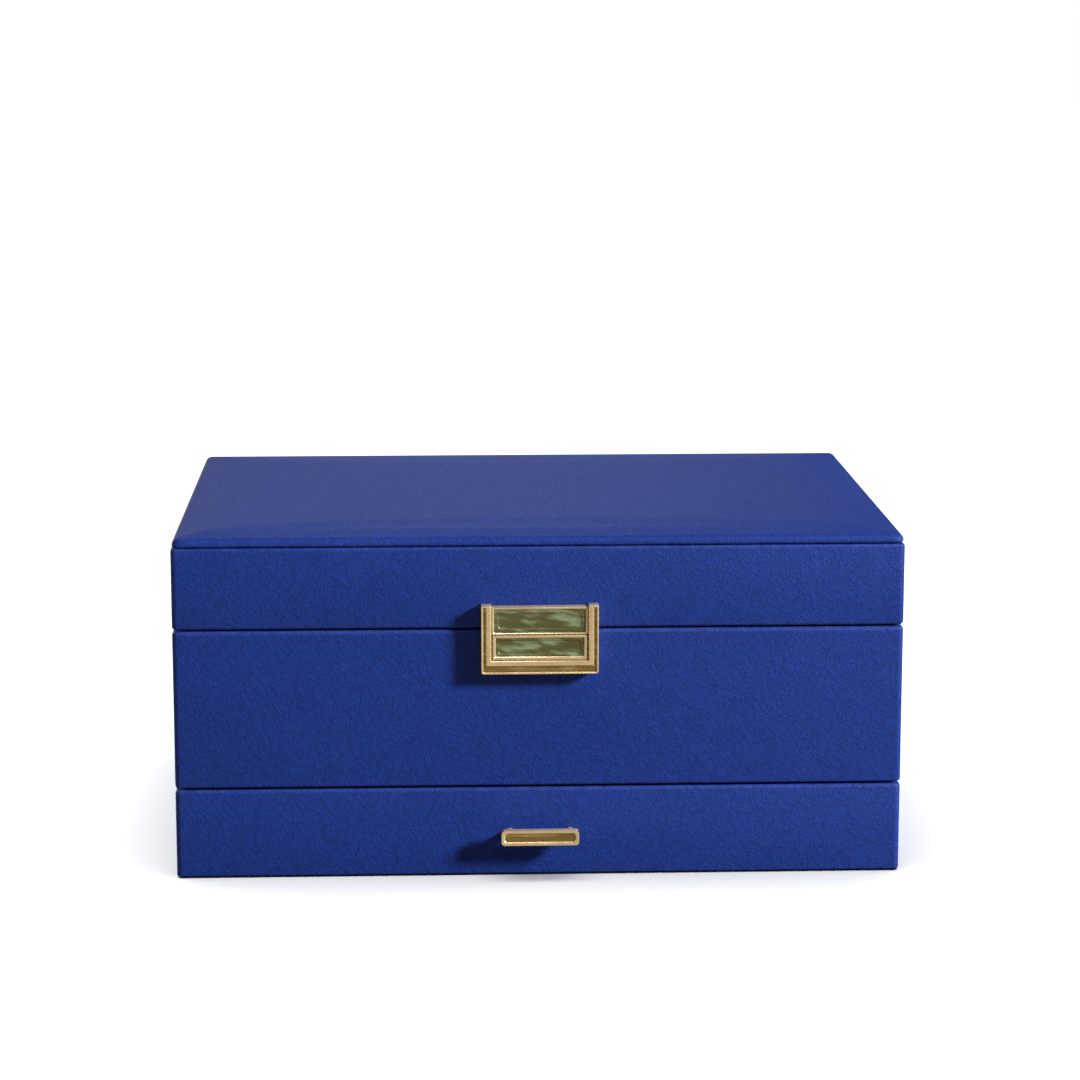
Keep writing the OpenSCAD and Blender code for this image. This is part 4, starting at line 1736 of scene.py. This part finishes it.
@dataclass
class Latch:
    """The U-shaped frame, the lid plate with its tongue, and the push button."""

    finishes: Finishes
    arm: float = 3.55 * MM
    rail: float = 4.8 * MM
    depth: float = 5.2 * MM
    corner: float = 0.8 * MM
    bead: float = 1.25 * MM
    bead_round: float = 0.5 * MM
    lip: float = 0.52 * MM
    panel_corner: float = 1.2 * MM
    edge_round: float = 0.16 * MM
    frame_round: float = 0.15 * MM
    # Slope and sink of the frame's band, of a plaque's ring and of its panel
    band_step: Pair = (0.12 * MM, 0.45 * MM)
    ring_step: Pair = (0.3 * MM, 0.35 * MM)
    panel_step: Pair = (0.16 * MM, 0.24 * MM)
    plate_rim: float = 0.5 * MM
    plate_sill: float = 0.2 * MM
    plate_ring: float = 1.3 * MM
    button_rim: float = 0.8 * MM
    button_ring: float = 0.8 * MM
    # Half of the tongue's width, and its two faces as distances in front of the lid
    tongue: float = 6.0 * MM
    tongue_faces: Pair = (1.9 * MM, 0.9 * MM)

    def frame(self) -> None:
        """Makes the U-shaped frame with ridged arms."""
        low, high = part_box("latch_housing")
        back = low.y + self.depth
        piece = Bench.block("latch_frame", tuple(low), (high.x, back, low.z + self.rail))
        inner = high.x - self.arm
        with Bench.edit(piece):
            for place in (-inner, inner):
                bpy.ops.mesh.select_all(action="SELECT")
                Bench.cut(Axis.X, place)
            Bench.faces(lambda c, n: n.z > ALONG and abs(c.x) > inner)
            bpy.ops.mesh.extrude_region_move(
                TRANSFORM_OT_translate={"value": (0, 0, high.z - low.z - self.rail)}
            )
            Bench.edges(
                lambda m, a, b: near(abs(m.x), high.x) and near(a.z, low.z) and near(b.z, low.z)
                and not near(a.y, b.y)
            )
            Bench.round_off(self.corner, 5)
            seam_x, seam_z = inner + self.bead, low.z + self.rail - self.bead
            for axis, place in ((Axis.X, -seam_x), (Axis.X, seam_x), (Axis.Z, seam_z)):
                Bench.faces(lambda c, n: n.y < -ALONG)
                Bench.cut(axis, place)
            Bench.faces(lambda c, n: n.y < -ALONG and (abs(c.x) > seam_x or c.z < seam_z))
            bpy.ops.mesh.inset(thickness=self.lip, depth=0.0)
            Bench.sink(self.band_step)
            Bench.edges(lambda m, a, b: self.on_bead(m, a, b, inner, low))
            Bench.round_off(self.bead_round, 5)
        Bench.soften(piece, self.frame_round, 3, 28)
        Bench.smooth(piece)
        # The sunken band takes the gold painted reflection
        hand_over(
            piece, Body.CASE, Slot.GOLD, [self.finishes.gold, self.finishes.gold_painted_reflection],
            "latch_housing", second=sunken(low.y),
        )

    def on_bead(self, m: Vector, a: Vector, b: Vector, inner: float, low: Vector) -> bool:
        """Tells whether an edge runs along the bead around the frame's opening.

        Args:
            m: The edge's middle.
            a: Its first end.
            b: Its second end.
            inner: Half of the opening's width.
            low: The frame's lowest corner.

        Returns:
            True for the bead's two long edges on each side.
        """
        if not (near(a.y, low.y) and near(b.y, low.y)):
            return False
        top = low.z + self.rail
        upright = near(a.x, b.x) and near(abs(m.x), inner) and m.z > top - 0.01 * MM
        level = near(a.z, b.z) and near(m.z, top) and abs(m.x) < inner
        return upright or level

    def plaque(
        self, name: str, low: Vector, high: Vector, rim: float, ring: float, sill: float
    ) -> bpy.types.Object:
        """Makes a plate with a raised rim, a sunken ring and a deeper panel with round corners.

        Args:
            name: The piece's name.
            low: Lowest corner.
            high: Highest corner.
            rim: The rim's width.
            ring: The ring's width.
            sill: The rim's width along the lower edge.

        Returns:
            The plate.
        """
        piece = Bench.block(name, tuple(low), tuple(high))
        with Bench.edit(piece):
            Bench.faces(lambda c, n: n.y < -ALONG)
            bpy.ops.mesh.inset(thickness=rim, depth=0.0)
            Bench.place(
                lambda co: (co.x, co.y, low.z + sill if near(co.z, low.z + rim) else co.z)
            )
            Bench.sink(self.ring_step)
            bpy.ops.mesh.inset(thickness=ring, depth=0.0)
            Bench.sink(self.panel_step)
            middle = low.y + self.ring_step[1] + self.panel_step[1] / 2
            Bench.edges(lambda m, a, b: not near(a.y, b.y) and near(m.y, middle))
            Bench.round_off(self.panel_corner, 5)
        return piece

    @staticmethod
    def sunk(low: Vector, high: Vector, rim: float) -> FaceTest:
        """Makes a test for the faces inside a plate's rim.

        Args:
            low: The plate's lowest corner.
            high: Its highest corner.
            rim: Its rim's width.

        Returns:
            The test.
        """
        return lambda c, n: (
            n.y < -0.3
            and low.y + 0.25 * MM < c.y < low.y + MM
            and abs(c.x) < high.x - rim
            and low.z < c.z < high.z - rim
        )

    def plate(self) -> None:
        """Makes the lid's plate and the tongue that hangs from it."""
        low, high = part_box("latch_plate")
        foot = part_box("latch_button")[1].z + 0.3 * MM
        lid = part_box("lid_frame_cover")[0]
        rim = self.plate_rim
        corners = Vector((low.x, low.y, foot)), Vector((high.x, lid.y - 0.4 * MM, high.z))
        front = self.plaque("latch_lid_plate", *corners, rim, self.plate_ring, self.plate_sill)
        back = Bench.block(
            "plate_back",
            (low.x + 0.3 * MM, lid.y - 0.5 * MM, lid.z),
            (high.x - 0.3 * MM, lid.y, high.z - 0.3 * MM),
        )
        face, rear = self.tongue_faces
        tongue = Bench.block(
            "tongue", (-self.tongue, lid.y - face, low.z), (self.tongue, lid.y - rear, foot + MM)
        )
        piece = Bench.join("latch_lid_plate", [front, back, tongue])
        Bench.soften(piece, self.edge_round, 3, 28)
        Bench.smooth(piece)
        # The sunken panel takes the olive painted reflection
        hand_over(
            piece, Body.LID, Slot.GOLD, [self.finishes.gold, self.finishes.reflection_olive], "latch_plate",
            second=self.sunk(*corners, rim),
        )

    def button(self) -> None:
        """Makes the push button and the steel yoke behind it."""
        low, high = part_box("latch_button")
        rim = self.button_rim
        piece = self.plaque("push_button", low, high, rim, self.button_ring, rim)
        Bench.soften(piece, self.edge_round, 3, 28)
        Bench.smooth(piece)
        # The sunken panel takes the olive painted reflection
        hand_over(
            piece, Body.BUTTON, Slot.GOLD, [self.finishes.gold, self.finishes.reflection_olive],
            "latch_button", second=self.sunk(low, high, rim),
        )
        yoke = Bench.copy_of("latch_yoke", "catch_yoke", 0.15 * MM)
        hand_over(yoke, Body.BUTTON, Slot.STEEL, [self.finishes.steel], "latch_yoke")

    def backplate(self) -> None:
        """Makes the plate behind the latch, inside the compartment."""
        piece = Bench.copy_of("latch_backplate", "latch_back_plate", 0.2 * MM, 3)
        hand_over(piece, Body.CASE, Slot.GOLD, [self.finishes.gold], "latch_backplate")

    def build(self) -> None:
        """Makes the latch's pieces."""
        self.frame()
        self.plate()
        self.button()
        self.backplate()


@dataclass
class Pull:
    """The drawer's bar pull on two posts."""

    finishes: Finishes
    bar: float = 3.0 * MM
    rim: float = 0.9 * MM
    corner: float = 1.2 * MM
    panel_step: Pair = (0.3 * MM, 0.45 * MM)
    panel_corner: float = 1.0 * MM
    post: float = 1.4 * MM
    # Distance of the posts from the bar's ends
    post_inset: float = 3.0 * MM
    # Where the collar starts and is full, as distances from the drawer's face, and its flare
    collar: Pair = (1.4 * MM, 1.0 * MM)
    flare: float = 1.1

    def build(self) -> None:
        """Makes the bar, its sunken panel and the posts with their collars."""
        low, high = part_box("drawer_handle")
        piece = Bench.block("drawer_pull", tuple(low), (high.x, low.y + self.bar, high.z))
        with Bench.edit(piece):
            Bench.faces(lambda c, n: n.y < -ALONG)
            bpy.ops.mesh.inset(thickness=self.rim, depth=0.0)
            Bench.sink(self.panel_step)
            middle = low.y + self.panel_step[1] / 2
            Bench.edges(lambda m, a, b: not near(a.y, b.y) and near(m.y, middle))
            Bench.round_off(self.panel_corner, 5)
            Bench.edges(lambda m, a, b: not near(a.y, b.y) and near(abs(m.x), high.x))
            Bench.round_off(self.corner, 6)
        Bench.soften(piece, 0.4 * MM, 4, 28)
        level = (low.z + high.z) / 2
        parts = [piece]
        for sign in (-1, 1):
            centre = sign * (high.x - self.post_inset)
            post = Bench.rod(
                f"post_{sign}", (centre, low.y + self.bar - 0.2 * MM, level),
                (centre, high.y, level), self.post,
            )
            with Bench.edit(post):
                Bench.faces(lambda c, n: abs(n.y) < 0.5)
                begins, full = self.collar
                Bench.cut(Axis.Y, high.y - full)
                Bench.cut(Axis.Y, high.y - begins)
                half_way = high.y - (begins + full) / 2
                Bench.edges(lambda m, a, b: m.y > half_way and near(a.y, b.y))
                bpy.ops.transform.resize(
                    value=(self.flare, 1, self.flare), center_override=(centre, 0, level)
                )
            Bench.soften(post, 0.15 * MM, 2, 40)
            parts.append(post)
        pull = Bench.join("drawer_pull", parts)
        Bench.smooth(pull)
        # The sunken panel takes the gold painted reflection
        hand_over(
            pull, Body.DRAWER, Slot.GOLD, [self.finishes.gold, self.finishes.gold_painted_reflection],
            "drawer_handle", second=sunken(low.y),
        )


@dataclass
class Hinges:
    """The leaves and screws of the two butt hinges."""

    finishes: Finishes
    edge_round: float = 0.15 * MM
    # The screws' heads: radius, border, and the slot's half width and depth
    head: float = 1.5 * MM
    border: float = 0.3 * MM
    slot: Pair = (0.25 * MM, 0.35 * MM)
    # Where the head tapers to the shank, below its face, and the shank's share of its width
    taper: Pair = (0.8 * MM, 0.85 * MM)
    shank: float = 0.53

    def screws(self, node: str, name: str, body: Body, up: bool) -> None:
        """Makes slotted screws in place of a node's plain ones.

        Args:
            node: The frame node with the hinge screws.
            name: The piece's name.
            body: The body they ride on.
            up: True where the heads face up.
        """
        low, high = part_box(node)
        face = high.z if up else low.z
        away = 1 if up else -1
        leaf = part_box("left_hinge_case_leaf")
        middle = (leaf[0].x + leaf[1].x) / 2
        offset = middle - (low.x + self.head)
        y = (low.y + high.y) / 2
        parts = []
        for hinge in (-1, 1):
            for side in (-1, 1):
                x = hinge * abs(middle) + side * offset
                parts.append(self.screw((x, y, face), away, high.z - low.z))
        piece = Bench.join(name, parts)
        Bench.smooth(piece, 40)
        hand_over(piece, body, Slot.GOLD, [self.finishes.gold], node)

    def screw(self, face: Vec3, away: int, length: float) -> bpy.types.Object:
        """Makes one upright screw with a slotted head.

        Args:
            face: Centre of the head's face.
            away: 1 for a head that faces up, -1 for down.
            length: The screw's length.

        Returns:
            The screw.
        """
        x, y, z = face
        body = Bench.rod("screw", (x, y, z), (x, y, z - away * length), self.head, 20)
        with Bench.edit(body):
            Bench.faces(lambda c, n: n.z * away > ALONG)
            bpy.ops.mesh.inset(thickness=self.border, depth=0.0)
            width, depth = self.slot
            for place in (-width, width):
                Bench.faces(lambda c, n: n.z * away > ALONG)
                Bench.cut(Axis.Y, y + place)
            Bench.faces(lambda c, n: n.z * away > ALONG and abs(c.y - y) < width)
            bpy.ops.mesh.extrude_region_move(
                TRANSFORM_OT_translate={"value": (0, 0, -away * depth)}
            )
            Bench.faces(lambda c, n: abs(n.z) < 0.5 and abs(c.z - z) > 0.4 * length)
            for place in self.taper:
                Bench.cut(Axis.Z, z - away * place)
            neck = sum(self.taper) / 2
            Bench.edges(lambda m, a, b: near(a.z, b.z) and (z - m.z) * away > neck)
            bpy.ops.transform.resize(
                value=(self.shank, self.shank, 1), center_override=(x, y, z)
            )
        return body

    def build(self) -> None:
        """Makes the hinges."""
        for side in ("left", "right"):
            for part, body in (("case", Body.CASE), ("lid", Body.LID)):
                node = f"{side}_hinge_{part}_leaf"
                piece = Bench.copy_of(node, f"{side}_{part}_leaf", self.edge_round)
                hand_over(piece, body, Slot.GOLD, [self.finishes.gold], node)
        self.screws("case_hinge_screws", "case_leaf_screws", Body.CASE, True)
        self.screws("lid_hinge_screws", "lid_leaf_screws", Body.LID, False)


@dataclass
class Boards:
    """The boards and inner pieces: softened copies of those that show, and the rest as they are."""

    finishes: Finishes

    def copies(self) -> None:
        """Replaces the boards that show with softened copies."""
        for node in (
            "drawer_left_side", "drawer_right_side", "drawer_back_panel", "drawer_floor",
            "drawer_stop",
        ):
            body = Body.CASE if node == "drawer_stop" else Body.DRAWER
            piece = Bench.copy_of(node, f"{node}_wrapped", 0.5 * MM, 3)
            hand_over(piece, body, Slot.BOARD, [self.finishes.paper], node)

    def kept(self) -> None:
        """Gives every frame node the finish of its slot."""
        by_slot = {
            Slot.BOARD: self.finishes.paper,
            Slot.FELT: self.finishes.felt,
            Slot.FOAM: self.finishes.foam,
            Slot.STEEL: self.finishes.steel,
            Slot.GOLD: self.finishes.gold,
            Slot.LEATHER: self.finishes.case_leather,
            Slot.VELVET: self.finishes.velvet,
            Slot.MIRROR: self.finishes.mirror,
        }
        slots = {row["node"]: row["material_slot"] for row in frame["record"]["subparts"]}
        for name, node in frame["nodes"].items():
            node.data.materials.clear()
            node.data.materials.append(by_slot[Slot(slots[name])])

    def build(self) -> None:
        """Makes the copies and dresses the rest."""
        self.copies()
        self.kept()
        log.info("frame nodes dressed")


# ---- Studio ----


@dataclass
class Studio:
    """The table, the lights and the camera."""

    lens: float = 102.7
    eye: Vec3 = (-0.0423, -1.1626, 0.3209)
    yaw: float = 2.28
    pitch: float = 10.52
    aim: Vector = field(default_factory=lambda: Vector((0.0, -0.04, 0.06)))
    # The softboxes' names, centres, widths and watts
    softboxes: tuple[tuple[str, Vec3, float, float], ...] = (
        ("key", (3.2, -1.73, 1.78), 0.64, 302.0),
        ("rear", (-0.3, 2.0, 0.7), 1.4, 3.4),
        ("rear_glint", (0.08, 2.0, 0.52), 0.26, 0.3),
        ("rear_left", (-1.8, 1.9, 0.45), 1.0, 38.0),
        ("card_left", (-1.5, -0.7, 0.3), 0.6, 2.6),
        ("card_over", (0.15, -0.45, 1.5), 0.25, 2.3),
    )
    # The table's grey to the eye, and what the table and the room throw on the case
    table_grey: float = 0.92
    table_glow: Vec3 = (0.2, 0.17, 0.13)
    room_glow: Vec3 = (0.09, 0.09, 0.095)
    # The lamp over the table: its angle in degrees and its strength
    table_lamp: Pair = (70.0, 4.6)

    def camera(self) -> None:
        """Places the camera."""
        data = bpy.data.cameras.new("camera")
        data.lens = self.lens
        data.sensor_width = 36.0
        camera = bpy.data.objects.new("camera", data)
        bpy.context.scene.collection.objects.link(camera)
        camera.location = self.eye
        camera.rotation_euler = (math.radians(90 - self.pitch), 0.0, math.radians(-self.yaw))
        bpy.context.scene.camera = camera

    def softbox(self, name: str, place: Vec3, size: float, power: float) -> bpy.types.Object:
        """Adds a square softbox that faces the case.

        Args:
            name: The light's name.
            place: Its centre.
            size: Its width.
            power: Its power in watts.

        Returns:
            The light.
        """
        data = bpy.data.lights.new(name, "AREA")
        data.size = size
        data.energy = power
        lamp = bpy.data.objects.new(name, data)
        bpy.context.scene.collection.objects.link(lamp)
        lamp.location = place
        lamp.rotation_euler = (self.aim - Vector(place)).to_track_quat("-Z", "Y").to_euler()
        return lamp

    def pale(self, name: str, seen: float, thrown: Vec3) -> Paint:
        """Starts a material that is pale to the eye and throws back only a little light.

        Args:
            name: The material's name.
            seen: The grey that is seen.
            thrown: The colour of the light that it throws on the case.

        Returns:
            The material's paint.
        """
        paint = Paint(name)
        eye = paint.graph.add("LightPath").outputs["Is Camera Ray"]
        tone = paint.graph.noise(paint.place, 3.0, 2.0)
        sight = paint.graph.blend(tone, (seen, seen, seen, 1.0), (seen + 0.02,) * 3 + (1.0,))
        paint.set(
            Base_Color=paint.graph.blend(eye, (*thrown, 1.0), sight),
            Roughness=0.7,
            Specular_IOR_Level=0.1,
        )
        return paint

    def floor(self) -> bpy.types.Object:
        """Lays the pale table.

        Returns:
            The table.
        """
        Bench.clear()
        bpy.ops.mesh.primitive_grid_add(x_subdivisions=8, y_subdivisions=8, size=12.0)
        table = Bench.name_it("table")
        white = self.pale("table_white", self.table_grey, self.table_glow).material
        table.data.materials.append(white)
        return table

    def world(self) -> None:
        """Sets surroundings that are white to the eye and dim to the case."""
        world = bpy.data.worlds.new("studio")
        bpy.context.scene.world = world
        world.use_nodes = True
        g = Graph(world.node_tree)
        eye = g.add("LightPath").outputs["Is Camera Ray"]
        back = world.node_tree.nodes["Background"]
        g.join(g.blend(eye, (*self.room_glow, 1.0), (1.0, 1.0, 1.0, 1.0)), back.inputs[0])
        back.inputs[1].default_value = 1.0

    def build(self) -> None:
        """Sets up the studio."""
        scene = bpy.context.scene
        scene.view_settings.view_transform = "Standard"
        self.camera()
        table = self.floor()
        self.world()
        case_only = bpy.data.collections.new("case_only")
        case_only.objects.link(table)
        case_only.collection_objects[0].light_linking.link_state = "EXCLUDE"
        table_only = bpy.data.collections.new("table_only")
        table_only.objects.link(table)
        for softbox in self.softboxes:
            self.softbox(*softbox).light_linking.receiver_collection = case_only
        over = self.softbox("over_table", (0.0, 0.0, 3.0), 2.4, 1.0)
        over.data.type = "SUN"
        angle, strength = self.table_lamp
        over.data.angle = math.radians(angle)
        over.data.energy = strength
        over.light_linking.receiver_collection = table_only
        log.info("studio set")


def main() -> None:
    """Builds the case in order."""
    logging.basicConfig(level=logging.INFO, format="%(message)s")
    Studio().build()
    finishes = Finishes()
    LeatherShells(finishes).build()
    TopPanel(finishes).build()
    Linings(finishes).build()
    Cushions(finishes).build()
    Latch(finishes).build()
    Pull(finishes).build()
    Hinges(finishes).build()
    Boards(finishes).build()


if __name__ == "__main__":
    main()
